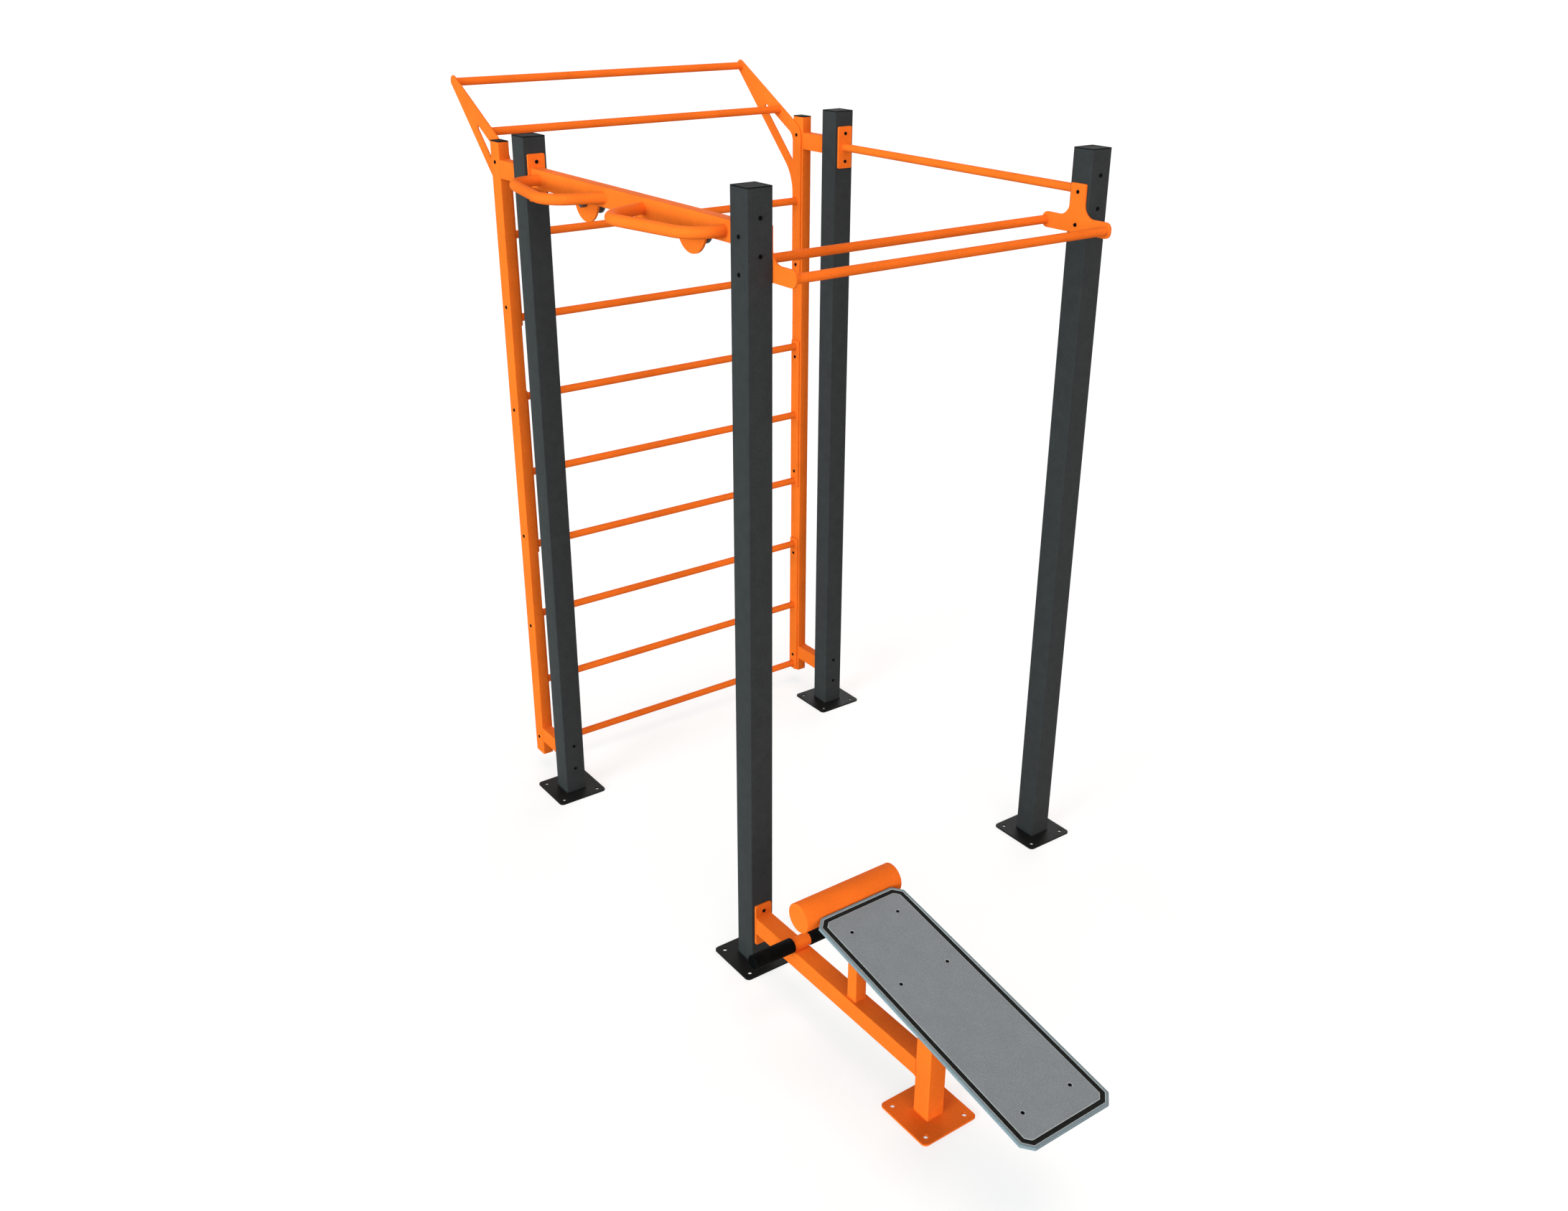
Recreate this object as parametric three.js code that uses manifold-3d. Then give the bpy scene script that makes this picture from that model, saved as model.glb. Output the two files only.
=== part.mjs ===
// Outdoor fitness station: four posts in a square with high bars, pull handles, a bench and wall bars.
// Millimetres, +Z up. X runs from the front post to the right one, and Y from the front post to the left
// one. The pieces are placed from the front post's axis on the ground, and the finished group is then
// moved so that its origin lies at the middle of its footprint.

import * as THREE from "three";
import { mergeVertices } from "three/addons/utils/BufferGeometryUtils.js";
import Module from "manifold-3d";

const wasm = await Module();
wasm.setup();

// Faces of round and rounded shapes, as counts
const tubeSides = 20;
const boreSides = 8;
const holeSides = 8;
const anchorSides = 12;
const smallSides = 14;
const cornerSteps = 1;
const plateCornerSteps = 2;
const longArcSteps = 3;
const bendSteps = 5;

// Sizes that the whole frame shares
const seat = 0.3; // gap left between two pieces that bear on each other
const overrun = 6; // how far a cutter runs past the faces that it cuts
const weldBite = 1; // how far a welded bar sinks into its plate
const boltHole = 9;
const boltPitch = 98; // between the two bolts of one plate
const drainHole = 8; // in the underside of every tube that is closed at both ends
const pipe = { diameter: 26.9, wall: 2.6 }; // bars and rungs
const headHeight = 2309; // axis of the high beams
const footHeight = 154; // axis of the low beams

const bay = { width: 1250, depth: 1250 };
const post = { side: 80, wall: 3, corner: 3, above: 124 }; // rises above the axis of the high beams
const basePlate = { side: 195, thickness: 6, corner: 15, anchorOffset: 71.5, anchorHole: 13 };
const lid = { thickness: 3, edge: 1, spigotDepth: 18, spigotWall: 2.5, spigotGap: 0.5 };
const endPlate = { width: 60, height: 147, thickness: 8, corner: 6 };

// Beam between the left and front posts, with its two pull handles and two strap hangers
const beam = { width: 40, height: 60, wall: 3, corner: 3 };
const handle = { diameter: 33.7, wall: 2.6, bendRadius: 88 };
const handlePath = { outer: 529, outerReach: 122, deepReach: 190, deep: 168, inner: 110 };
const lug = { offset: 300, radius: 75, thickness: 8, drop: 27, topGap: 15, hole: 17 };
const peg = { drop: 43, shaft: 16, nut: 24, nutLength: 20, nutEdge: 1.5, thread: 3, barrel: 30 };
const pegDisc = { diameter: 72, thickness: 8, standoff: 43, edge: 1.5 };

// Pair of parallel bars between the front and right posts
const bracket = { thickness: 8, stem: 60, above: 25, arm: 280, armHeight: 48 };
const bracketRadius = { stem: 4, arm: 20, fillet: 40 };
const parallelHalfGap = 124;

// Wall bars behind the left and back posts
const upright = { reach: 216, width: 60, depth: 40, wall: 3, corner: 3, foot: 65, above: 85 };
const rung = { first: 91, last: 223, count: 8 }; // above the ground, and below the high beams
const panelRungs = { count: 3 };
const strip = { width: 50, thickness: 6, corner: 8, past: 26, boltInset: 68 };
const gusset = { reach: 396, topAngle: 29, lowAngle: 45, aboveBolt: 39, depth: 191, band: 54 };
const gussetRadius = { elbow: 160, shoulder: 60, nose: 20, chin: 6 };
const windowRadius = { top: 42, tip: 7.5, foot: 4 };
const overheadBar = { first: 112, second: 365, drop: 18 };

// Bench that runs out from the front post
const benchBeam = { side: 60, wall: 3, corner: 3 };
const leg = { place: 853, side: 60, wall: 3, corner: 3 };
const strut = { place: 521, side: 40, wall: 3, corner: 3 };
const board = { slope: 10, hinge: 593, height: 497.4, width: 310, thickness: 10 };
const boardReach = { above: 86.5, below: 787.5 }; // from the upper pair of screws to the board's ends
const boardTrim = { chamfer: 28, edge: 2, grooveInset: 10, groove: 13, grooveDepth: 2, hole: 10 };
const boardHoles = { halfSpan: 82.5, second: 216.5, endInset: 95 };
const carrier = { width: 60, height: 40, wall: 3, corner: 3, endInset: 82.5 };
const crossBar = { length: 210, width: 40, thickness: 6, hole: 9 };
const kneeRoll = { diameter: 88.9, wall: 3.2, length: 343, drop: 19.4 };
const axle = { place: 240.5, collar: 40, collarLength: 60, stub: 30, wall: 3 };
const sleeve = { diameter: 47, bore: 31, length: 147, recess: 40, recessDepth: 6, edge: 2 };
const sleeveCap = { diameter: 39, thickness: 5, edge: 1, bolt: 8, boltLength: 18, play: 0.4 };

// Finishes
const finish = (color, roughness, metalness) =>
  new THREE.MeshStandardMaterial({ color, roughness, metalness });
const anthraciteCoat = finish(0x3c3f42, 0.62, 0.15);
const orangeCoat = finish(0xf26a1e, 0.5, 0.1);
const blackCoat = finish(0x1d1e20, 0.6, 0.15);
const blackPlastic = finish(0x232527, 0.55, 0);
const greyPlastic = finish(0x85898c, 0.6, 0);
const blackRubber = finish(0x0e0f10, 0.75, 0);
const darkSteel = finish(0x2c373b, 0.5, 0.6);

// A closed geometry as a solid that can be joined and cut.
function solidOf(geometry) {
  geometry.deleteAttribute("normal");
  geometry.deleteAttribute("uv");
  const merged = mergeVertices(geometry);
  return new wasm.Manifold(
    new wasm.Mesh({
      numProp: 3,
      vertProperties: merged.attributes.position.array,
      triVerts: new Uint32Array(merged.index.array),
    }),
  );
}

// A solid as a geometry with flat faces.
function geometryOf(solid) {
  const mesh = solid.getMesh();
  const geometry = new THREE.BufferGeometry();
  geometry.setAttribute("position", new THREE.BufferAttribute(mesh.vertProperties, mesh.numProp));
  geometry.setIndex(new THREE.BufferAttribute(mesh.triVerts, 1));
  const flat = geometry.toNonIndexed();
  flat.computeVertexNormals();
  return flat;
}

// An outline through corners given as [x, y, radius], each rounded by an arc that touches both sides.
function roundedOutline(corners) {
  const outline = new THREE.Shape();
  corners.forEach(([x, y, radius], i) => {
    const before = corners[(i + corners.length - 1) % corners.length];
    const after = corners[(i + 1) % corners.length];
    const corner = new THREE.Vector2(x, y);
    const back = new THREE.Vector2(before[0], before[1]).sub(corner).normalize();
    const on = new THREE.Vector2(after[0], after[1]).sub(corner).normalize();
    const half = Math.acos(back.dot(on)) / 2;
    const start = corner.clone().addScaledVector(back, radius / Math.tan(half));
    const end = corner.clone().addScaledVector(on, radius / Math.tan(half));
    const inward = back.clone().add(on).normalize();
    const centre = corner.clone().addScaledVector(inward, radius / Math.sin(half));
    const startAngle = start.clone().sub(centre).angle();
    const endAngle = end.clone().sub(centre).angle();
    const clockwise = back.cross(on) > 0;
    outline.absarc(centre.x, centre.y, radius, startAngle, endAngle, clockwise);
  });
  outline.closePath();
  return outline;
}

// A rectangle around the origin with round corners.
function rectangle(width, height, corner) {
  const x = width / 2;
  const y = height / 2;
  return roundedOutline([
    [-x, -y, corner],
    [x, -y, corner],
    [x, y, corner],
    [-x, y, corner],
  ]);
}

// A round outline, with as many sides as its use needs.
function circle(diameter, sides, x = 0, y = 0) {
  const outline = new THREE.Shape();
  for (let i = 0; i < sides; i++) {
    const angle = (i / sides) * 2 * Math.PI;
    const px = x + (diameter / 2) * Math.cos(angle);
    const py = y + (diameter / 2) * Math.sin(angle);
    if (i === 0) outline.moveTo(px, py);
    else outline.lineTo(px, py);
  }
  outline.closePath();
  return outline;
}

// The section of a rectangular tube.
function boxSection(width, height, corner, wall) {
  const section = rectangle(width, height, corner);
  const innerCorner = Math.max(corner - wall, corner / 4);
  section.holes.push(rectangle(width - 2 * wall, height - 2 * wall, innerCorner));
  return section;
}

// The section of a round tube.
function pipeSection(diameter, wall) {
  const section = circle(diameter, tubeSides);
  section.holes.push(circle(diameter - 2 * wall, boreSides));
  return section;
}

// A section carried along +Z from height z.
function extrude(section, length, z = 0, steps = cornerSteps) {
  const options = { depth: length, bevelEnabled: false, curveSegments: steps };
  return new THREE.ExtrudeGeometry(section, options).translate(0, 0, z);
}

// A flat plate whose two rims are bevelled, from z to z + thickness.
function bevelledPlate(outlineOf, thickness, edge, z = 0) {
  const options = {
    depth: thickness - 2 * edge,
    bevelThickness: edge,
    bevelSize: edge,
    bevelSegments: 1,
    curveSegments: cornerSteps,
  };
  return new THREE.ExtrudeGeometry(outlineOf(edge), options).translate(0, 0, z + edge);
}

// A round rod or cutter along one axis, centred on a point.
function rod(axis, diameter, length, centre, sides = holeSides) {
  const geometry = new THREE.CylinderGeometry(diameter / 2, diameter / 2, length, sides);
  if (axis === "x") geometry.rotateZ(Math.PI / 2);
  if (axis === "z") geometry.rotateX(Math.PI / 2);
  return solidOf(geometry.translate(...centre));
}

function block(size, centre) {
  return solidOf(new THREE.BoxGeometry(...size).translate(...centre));
}

// A solid turned about its axis of revolution, +Z, from [radius, height] points.
function revolve(profile, sides = tubeSides) {
  const points = profile.map(([radius, height]) => new THREE.Vector2(radius, height));
  return solidOf(new THREE.LatheGeometry(points, sides).rotateX(Math.PI / 2));
}

// The two bolt holes of a plate, on one line through its middle.
function boltPair(axis, length, middle, pitchAxis = "z") {
  return [-1, 1].map((side) => {
    const centre = [...middle];
    centre["xyz".indexOf(pitchAxis)] += (side * boltPitch) / 2;
    return rod(axis, boltHole, length, centre);
  });
}

function cut(solid, cutters) {
  return cutters.reduce((rest, cutter) => rest.subtract(cutter), solid);
}

function mesh(name, shape, material) {
  const geometry = shape instanceof THREE.BufferGeometry ? shape : geometryOf(shape);
  const made = new THREE.Mesh(geometry, material);
  made.name = name;
  return made;
}

// Turns that lay a piece made along +Z, or flat on XY, where it belongs.
const alongX = [0, Math.PI / 2, 0];
const alongY = [-Math.PI / 2, 0, 0];
const againstY = [Math.PI / 2, 0, 0];
const facingX = [Math.PI / 2, Math.PI / 2, 0]; // a plate's x becomes Y, its y becomes Z

function place(parent, piece, position, turn = [0, 0, 0]) {
  piece.position.set(...position);
  piece.rotation.set(...turn);
  parent.add(piece);
  return piece;
}

const postTop = headHeight + post.above;

// Post: a square tube on its base plate, drilled through where beams and brackets are bolted to it.
function postTube(heightsThroughY, heightsThroughX) {
  const foot = basePlate.thickness + seat;
  const section = boxSection(post.side, post.side, post.corner, post.wall);
  const tube = solidOf(extrude(section, postTop - foot, foot));
  const length = post.side + 2 * overrun;
  return cut(tube, [
    ...heightsThroughY.flatMap((height) => boltPair("y", length, [0, 0, height])),
    ...heightsThroughX.flatMap((height) => boltPair("x", length, [0, 0, height])),
  ]);
}

function footPlate() {
  const outline = rectangle(basePlate.side, basePlate.side, basePlate.corner);
  for (const x of [-basePlate.anchorOffset, basePlate.anchorOffset]) {
    for (const y of [-basePlate.anchorOffset, basePlate.anchorOffset]) {
      outline.holes.push(circle(basePlate.anchorHole, anchorSides, x, y));
    }
  }
  return extrude(outline, basePlate.thickness, 0, plateCornerSteps);
}

// Plastic lid with a spigot that reaches down inside a rectangular tube.
function tubeLid(width, depth, corner, wall) {
  const outlineOf = (inset) => rectangle(width - 2 * inset, depth - 2 * inset, corner - inset);
  const cover = solidOf(bevelledPlate(outlineOf, lid.thickness, lid.edge, seat));
  const slack = 2 * (wall + lid.spigotGap);
  const spigot = boxSection(width - slack, depth - slack, corner - wall / 2, lid.spigotWall);
  const reach = lid.spigotDepth + seat + weldBite;
  return cover.add(solidOf(extrude(spigot, reach, -lid.spigotDepth)));
}

// Bar with a bolt plate welded on its start, and on its end too where it spans two posts.
// The plates' height and the bar's height run along local Y.
function platedBar(section, height, length, platesAtBothEnds) {
  const outline = rectangle(endPlate.width, endPlate.height, endPlate.corner);
  outline.holes.push(circle(boltHole, holeSides, 0, boltPitch / 2));
  outline.holes.push(circle(boltHole, holeSides, 0, -boltPitch / 2));
  const start = endPlate.thickness - weldBite;
  const end = platesAtBothEnds ? length - start : length;
  const plate = solidOf(extrude(outline, endPlate.thickness));
  const bar = solidOf(extrude(section, end - start, start)).add(plate);
  if (!platesAtBothEnds) return bar;
  const lowSide = height / 2;
  const drain = rod("y", drainHole, lowSide, [0, lowSide, endPlate.width]);
  const farPlate = solidOf(extrude(outline, endPlate.thickness, length - endPlate.thickness));
  return bar.add(farPlate).subtract(drain);
}

// A path of straight runs joined by round bends, stepped only where it bends.
class BentPath extends THREE.Curve {
  constructor(corners, radius) {
    super();
    const points = corners.map(([x, y]) => new THREE.Vector2(x, y));
    this.stations = [];
    points.forEach((corner, i) => {
      const onward = points[Math.min(i + 1, points.length - 1)].clone();
      const from = points[Math.max(i - 1, 0)].clone();
      if (i === 0 || i === points.length - 1) {
        this.station(corner, onward.sub(from).normalize());
        return;
      }
      const back = from.sub(corner).normalize();
      const on = onward.sub(corner).normalize();
      const half = Math.acos(back.dot(on)) / 2;
      const inward = back.clone().add(on).normalize();
      const centre = corner.clone().addScaledVector(inward, radius / Math.sin(half));
      const turn = (Math.PI - 2 * half) * Math.sign(-back.cross(on));
      const spoke = corner.clone().addScaledVector(back, radius / Math.tan(half)).sub(centre);
      const origin = new THREE.Vector2();
      for (let step = 0; step <= bendSteps; step++) {
        const angle = (turn * step) / bendSteps;
        const at = spoke.clone().rotateAround(origin, angle).add(centre);
        this.station(at, back.clone().negate().rotateAround(origin, angle));
      }
    });
  }
  station(point, direction) {
    this.stations.push([point, direction]);
  }
  at(u, which) {
    const { x, y } = this.stations[Math.round(u * (this.stations.length - 1))][which];
    return new THREE.Vector3(x, y, 0);
  }
  getPointAt(u, target = new THREE.Vector3()) {
    return target.copy(this.at(u, 0));
  }
  getTangentAt(u, target = new THREE.Vector3()) {
    return target.copy(this.at(u, 1));
  }
}

// Pull handle: a tube that leaves the beam square, runs along it slanting outward, and turns back to it.
function pullHandle(side) {
  const face = beam.width / 2;
  const deep = new THREE.Vector2(-handlePath.deepReach, side * handlePath.deep);
  const inner = new THREE.Vector2(-face, side * handlePath.inner);
  const past = inner.clone().sub(deep).setLength(overrun).add(inner);
  const corners = [
    [overrun - face, side * handlePath.outer],
    [-handlePath.outerReach, side * handlePath.outer],
    deep.toArray(),
    past.toArray(),
  ];
  const path = new BentPath(corners, handle.bendRadius);
  const options = { extrudePath: path, steps: path.stations.length - 1, bevelEnabled: false };
  const tube = solidOf(new THREE.ExtrudeGeometry(pipeSection(handle.diameter, handle.wall), options));
  const span = 2 * (handlePath.outer + handle.diameter);
  return tube.subtract(block([beam.width, span, beam.height], [-seat, 0, 0]));
}

// Lug: a plate with a round lower end, welded to the back of the beam, drawn around its round end.
function hangerLug() {
  const x = lug.radius;
  const top = lug.drop + beam.height / 2 - lug.topGap;
  const outline = new THREE.Shape();
  outline.moveTo(x, top);
  outline.lineTo(-x, top);
  outline.lineTo(-x, 0);
  outline.absarc(0, 0, lug.radius, Math.PI, 2 * Math.PI, false);
  outline.closePath();
  outline.holes.push(circle(lug.hole, smallSides, 0, lug.drop - peg.drop));
  return extrude(outline, lug.thickness, 0, longArcSteps + plateCornerSteps);
}

// Peg: a hex nut in front of the lug, and a barrel with a retaining disc behind it.
function hangerPeg() {
  const front = -seat - peg.nutLength;
  const hexAcross = peg.nut / Math.cos(Math.PI / 6);
  const hex = rod("z", hexAcross, peg.nutLength, [0, 0, front / 2 - seat / 2], 6);
  const nut = hex.intersect(
    revolve([
      [0, front],
      [peg.nut / 2, front],
      [hexAcross / 2, front + peg.nutEdge],
      [hexAcross / 2, -seat],
      [0, -seat],
    ], smallSides),
  );
  const back = lug.thickness + seat;
  const end = pegDisc.standoff + pegDisc.thickness;
  const profile = [
    [0, front - peg.thread],
    [peg.shaft / 2, front - peg.thread],
    [peg.shaft / 2, back],
    [peg.barrel / 2, back],
    [peg.barrel / 2, pegDisc.standoff],
    [pegDisc.diameter / 2 - pegDisc.edge, pegDisc.standoff],
    [pegDisc.diameter / 2, pegDisc.standoff + pegDisc.edge],
    [pegDisc.diameter / 2, end - pegDisc.edge],
    [pegDisc.diameter / 2 - pegDisc.edge, end],
    [0, end],
  ];
  return nut.add(revolve(profile, smallSides));
}

// Bracket of the parallel bars: a tee with a stem that takes two bolts, drawn around the bars' height.
function teeBracket() {
  const stem = bracket.stem / 2;
  const arm = bracket.arm / 2;
  const top = bracket.armHeight / 2;
  const outline = roundedOutline([
    [-arm, -top, bracketRadius.arm],
    [arm, -top, bracketRadius.arm],
    [arm, top, bracketRadius.arm],
    [stem, top, bracketRadius.fillet],
    [stem, boltPitch + bracket.above, bracketRadius.stem],
    [-stem, boltPitch + bracket.above, bracketRadius.stem],
    [-stem, top, bracketRadius.fillet],
    [-arm, top, bracketRadius.arm],
  ]);
  outline.holes.push(circle(boltHole, holeSides, 0, 0));
  outline.holes.push(circle(boltHole, holeSides, 0, boltPitch));
  return extrude(outline, bracket.thickness, 0, plateCornerSteps);
}

function roundBar(length, size = pipe) {
  return extrude(pipeSection(size.diameter, size.wall), length);
}

const uprightTop = headHeight + upright.above;
const rungPitch = (headHeight - rung.last - rung.first) / (rung.count - 1);
const stripLength = (panelRungs.count - 1) * rungPitch + 2 * strip.past;
const panelBoltSpan = stripLength - 2 * strip.boltInset;

// Upright of the wall bars, drilled through for the bolts of its three panels.
function uprightTube(panelHeights) {
  const section = boxSection(upright.depth, upright.width, upright.corner, upright.wall);
  const tube = solidOf(extrude(section, uprightTop - upright.foot, upright.foot));
  const length = upright.depth + 2 * overrun;
  const holes = panelHeights.flatMap((height) =>
    [-1, 1].map((side) => rod("x", boltHole, length, [0, 0, height + (side * panelBoltSpan) / 2])),
  );
  return cut(tube, holes);
}

function panelBoltHoles(outline) {
  for (const side of [-1, 1]) {
    outline.holes.push(circle(boltHole, holeSides, 0, (side * panelBoltSpan) / 2));
  }
  return outline;
}

// Side strip of a rung panel, drawn around its middle rung.
function rungStrip() {
  return extrude(panelBoltHoles(rectangle(strip.width, stripLength, strip.corner)), strip.thickness);
}

// Heights on the gusset above the middle of its panel, at a distance from the upright's axis.
const topSlope = Math.tan(THREE.MathUtils.degToRad(gusset.topAngle));
const lowSlope = Math.tan(THREE.MathUtils.degToRad(gusset.lowAngle));
const gussetRise = panelBoltSpan / 2 + gusset.aboveBolt;
const gussetTop = (reach) => gussetRise + reach * topSlope;
const gussetLow = (reach) => gussetRise - gusset.depth + (reach - strip.width / 2) * lowSlope;

// Gusset: the top panel's strip grows into a braced cantilever with a triangular window.
function gussetPlate() {
  const edge = strip.width / 2;
  const foot = -stripLength / 2;
  const outline = roundedOutline([
    [-edge, foot, strip.corner],
    [edge, foot, strip.corner],
    [edge, gussetLow(edge), gussetRadius.elbow],
    [gusset.reach, gussetLow(gusset.reach), gussetRadius.chin],
    [gusset.reach, gussetTop(gusset.reach), gussetRadius.nose],
    [-edge, gussetTop(-edge), gussetRadius.shoulder],
  ]);
  const meet = (gussetTop(0) - gussetLow(0) - 2 * gusset.band) / (lowSlope - topSlope);
  const window = roundedOutline([
    [edge, gussetLow(edge) + gusset.band, windowRadius.foot],
    [meet, gussetLow(meet) + gusset.band, windowRadius.tip],
    [edge, gussetTop(edge) - gusset.band, windowRadius.top],
  ]);
  outline.holes.push(window);
  return extrude(panelBoltHoles(outline), strip.thickness, 0, longArcSteps);
}

// Bench leg and strut: square tubes cut off along the slope of the carrier that they hold up.
const slope = THREE.MathUtils.degToRad(board.slope);
const carrierTop = -board.thickness - seat - crossBar.thickness;
const carrierFoot = carrierTop - carrier.height;

// Height of the carrier's underside at a distance from the front post's axis.
function carrierUnderside(distance) {
  const fall = (distance - board.hinge) * Math.tan(slope);
  return board.height - fall + (carrierFoot - seat) / Math.cos(slope);
}

function slopedPost(size, foot) {
  const rise = (size.side / 2) * Math.tan(slope);
  const middle = carrierUnderside(size.place);
  const section = boxSection(size.side, size.side, size.corner, size.wall);
  const tube = solidOf(extrude(section, middle + rise + overrun - foot, foot));
  const cutter = new THREE.BoxGeometry(2 * size.side, 2 * size.side, 2 * size.side);
  cutter.translate(0, 0, size.side).rotateX(slope).translate(0, 0, middle);
  return tube.subtract(solidOf(cutter));
}

function benchLeg() {
  const tube = slopedPost(leg, basePlate.thickness - weldBite);
  return tube.add(solidOf(footPlate()));
}

// Distances of the three pairs of screws along the board, from the upper pair
const screwRows = [0, -boardHoles.second, boardHoles.endInset - boardReach.below];

// Board: a chamfered slab with a routed line inside its rim and three pairs of screw holes.
function boardOutline(inset, chamfer) {
  const x = board.width / 2 - inset;
  const top = boardReach.above - inset;
  const low = inset - boardReach.below;
  const outline = new THREE.Shape();
  outline.moveTo(chamfer - x, low);
  outline.lineTo(x - chamfer, low);
  outline.lineTo(x, low + chamfer);
  outline.lineTo(x, top - chamfer);
  outline.lineTo(x - chamfer, top);
  outline.lineTo(chamfer - x, top);
  outline.lineTo(-x, top - chamfer);
  outline.lineTo(-x, low + chamfer);
  outline.closePath();
  return outline;
}

// A chamfer that keeps its rim parallel loses this share of the inset.
const chamferLossShare = 2 - Math.SQRT2;

function benchBoard() {
  const { chamfer, edge, grooveInset, groove, grooveDepth, hole } = boardTrim;
  const outlineOf = (inset) => boardOutline(inset, chamfer - inset * chamferLossShare);
  const slab = solidOf(bevelledPlate(outlineOf, board.thickness, edge, -board.thickness));
  const line = outlineOf(grooveInset);
  line.holes.push(outlineOf(grooveInset + groove));
  const drill = 2 * (board.thickness + overrun);
  const holes = screwRows.flatMap((y) =>
    [-1, 1].map((side) => rod("z", hole, drill, [side * boardHoles.halfSpan, y, 0])),
  );
  return cut(slab, [solidOf(extrude(line, grooveDepth + overrun, -grooveDepth)), ...holes]);
}

// The knee roll's axis in the board's own frame.
const rollPlace = boardReach.above + seat + kneeRoll.diameter / 2;

// Carrier: the sloping tube under the board, with a cross bar at each pair of screws.
function boardCarrier() {
  const section = boxSection(carrier.width, carrier.height, carrier.corner, carrier.wall);
  const below = boardReach.below - carrier.endInset;
  const tube = extrude(section, rollPlace + below);
  const plug = extrude(rectangle(carrier.width, carrier.height, carrier.corner), carrier.wall);
  const lay = (geometry) =>
    solidOf(geometry.rotateX(-Math.PI / 2).translate(0, -below, carrierTop - carrier.height / 2));
  let frame = lay(tube).add(lay(plug));
  for (const y of screwRows) {
    const height = crossBar.thickness + weldBite;
    const size = [crossBar.length, crossBar.width, height];
    const bar = block(size, [0, y, carrierTop - weldBite + height / 2]);
    const holes = [-1, 1].map((side) =>
      rod("z", crossBar.hole, 2 * carrier.height, [side * boardHoles.halfSpan, y, carrierTop]),
    );
    frame = frame.add(cut(bar, holes));
  }
  const clearance = kneeRoll.diameter + 2 * seat;
  return frame.subtract(rod("x", clearance, board.width, [0, rollPlace, -kneeRoll.drop], tubeSides));
}

// Knee roll: a tube closed by flat ends, with its drain hole below.
function kneeTube() {
  const half = kneeRoll.length / 2;
  const outer = rod("x", kneeRoll.diameter, kneeRoll.length, [0, 0, 0], tubeSides);
  const innerLength = 2 * (half - kneeRoll.wall);
  const inner = rod("x", kneeRoll.diameter - 2 * kneeRoll.wall, innerLength, [0, 0, 0], boreSides);
  const drainPlace = [half - kneeRoll.diameter, 0, -kneeRoll.diameter / 2];
  const drain = rod("z", drainHole, kneeRoll.diameter, drainPlace);
  return cut(outer, [inner, drain]);
}

// Axle of the foot rolls: a collar on the beam with a thinner tube through it.
const sleeveStart = axle.collarLength / 2 + sleeveCap.play;
const sleeveEnd = sleeveStart + sleeve.length;
const stubEnd = sleeveEnd - sleeveCap.thickness - sleeveCap.play;

function footAxle() {
  const collar = rod("z", axle.collar, axle.collarLength, [0, 0, 0], tubeSides);
  const stub = rod("z", axle.stub, 2 * (stubEnd - seat), [0, 0, 0], tubeSides);
  const bore = rod("z", axle.stub - 2 * axle.wall, 2 * stubEnd, [0, 0, 0]);
  return collar.add(stub).subtract(bore);
}

// Foot roll: a thick sleeve with a recess in its outer end for the cap that holds it on the axle.
function footSleeve() {
  const shoulder = sleeve.length - sleeve.recessDepth;
  return revolve([
    [sleeve.bore / 2, 0],
    [sleeve.diameter / 2 - sleeve.edge, 0],
    [sleeve.diameter / 2, sleeve.edge],
    [sleeve.diameter / 2, sleeve.length - sleeve.edge],
    [sleeve.diameter / 2 - sleeve.edge, sleeve.length],
    [sleeve.recess / 2, sleeve.length],
    [sleeve.recess / 2, shoulder],
    [sleeve.bore / 2, shoulder],
    [sleeve.bore / 2, 0],
  ]);
}

// Cap: a disc with a plug that screws into the end of the axle.
function footCap() {
  return revolve([
    [0, -sleeveCap.boltLength],
    [sleeveCap.bolt / 2, -sleeveCap.boltLength],
    [sleeveCap.bolt / 2, 0],
    [sleeveCap.diameter / 2, 0],
    [sleeveCap.diameter / 2, sleeveCap.thickness - sleeveCap.edge],
    [sleeveCap.diameter / 2 - sleeveCap.edge, sleeveCap.thickness],
    [0, sleeveCap.thickness],
  ], smallSides);
}

// The four posts, named as they stand in the view from the front left
const frame = new THREE.Group();
const half = post.side / 2;
const posts = {
  front: { x: 0, y: 0, low: true, bracket: true },
  right: { x: bay.width, y: 0, low: false, bracket: true },
  back: { x: bay.width, y: bay.depth, low: true, bracket: false },
  left: { x: 0, y: bay.depth, low: true, bracket: false },
};
for (const [name, { x, y, low, bracket: tee }] of Object.entries(posts)) {
  const column = new THREE.Group();
  const throughY = low ? [headHeight, footHeight] : [headHeight];
  const throughX = tee ? [headHeight - boltPitch / 2] : [];
  place(column, mesh(`base_plate_${name}`, footPlate(), blackCoat), [0, 0, 0]);
  place(column, mesh(`post_${name}`, postTube(throughY, throughX), anthraciteCoat), [0, 0, 0]);
  const cap = tubeLid(post.side, post.side, post.corner, post.wall);
  place(column, mesh(`post_cap_${name}`, cap, blackPlastic), [0, 0, postTop]);
  place(frame, column, [x, y, 0]);
}

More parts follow.
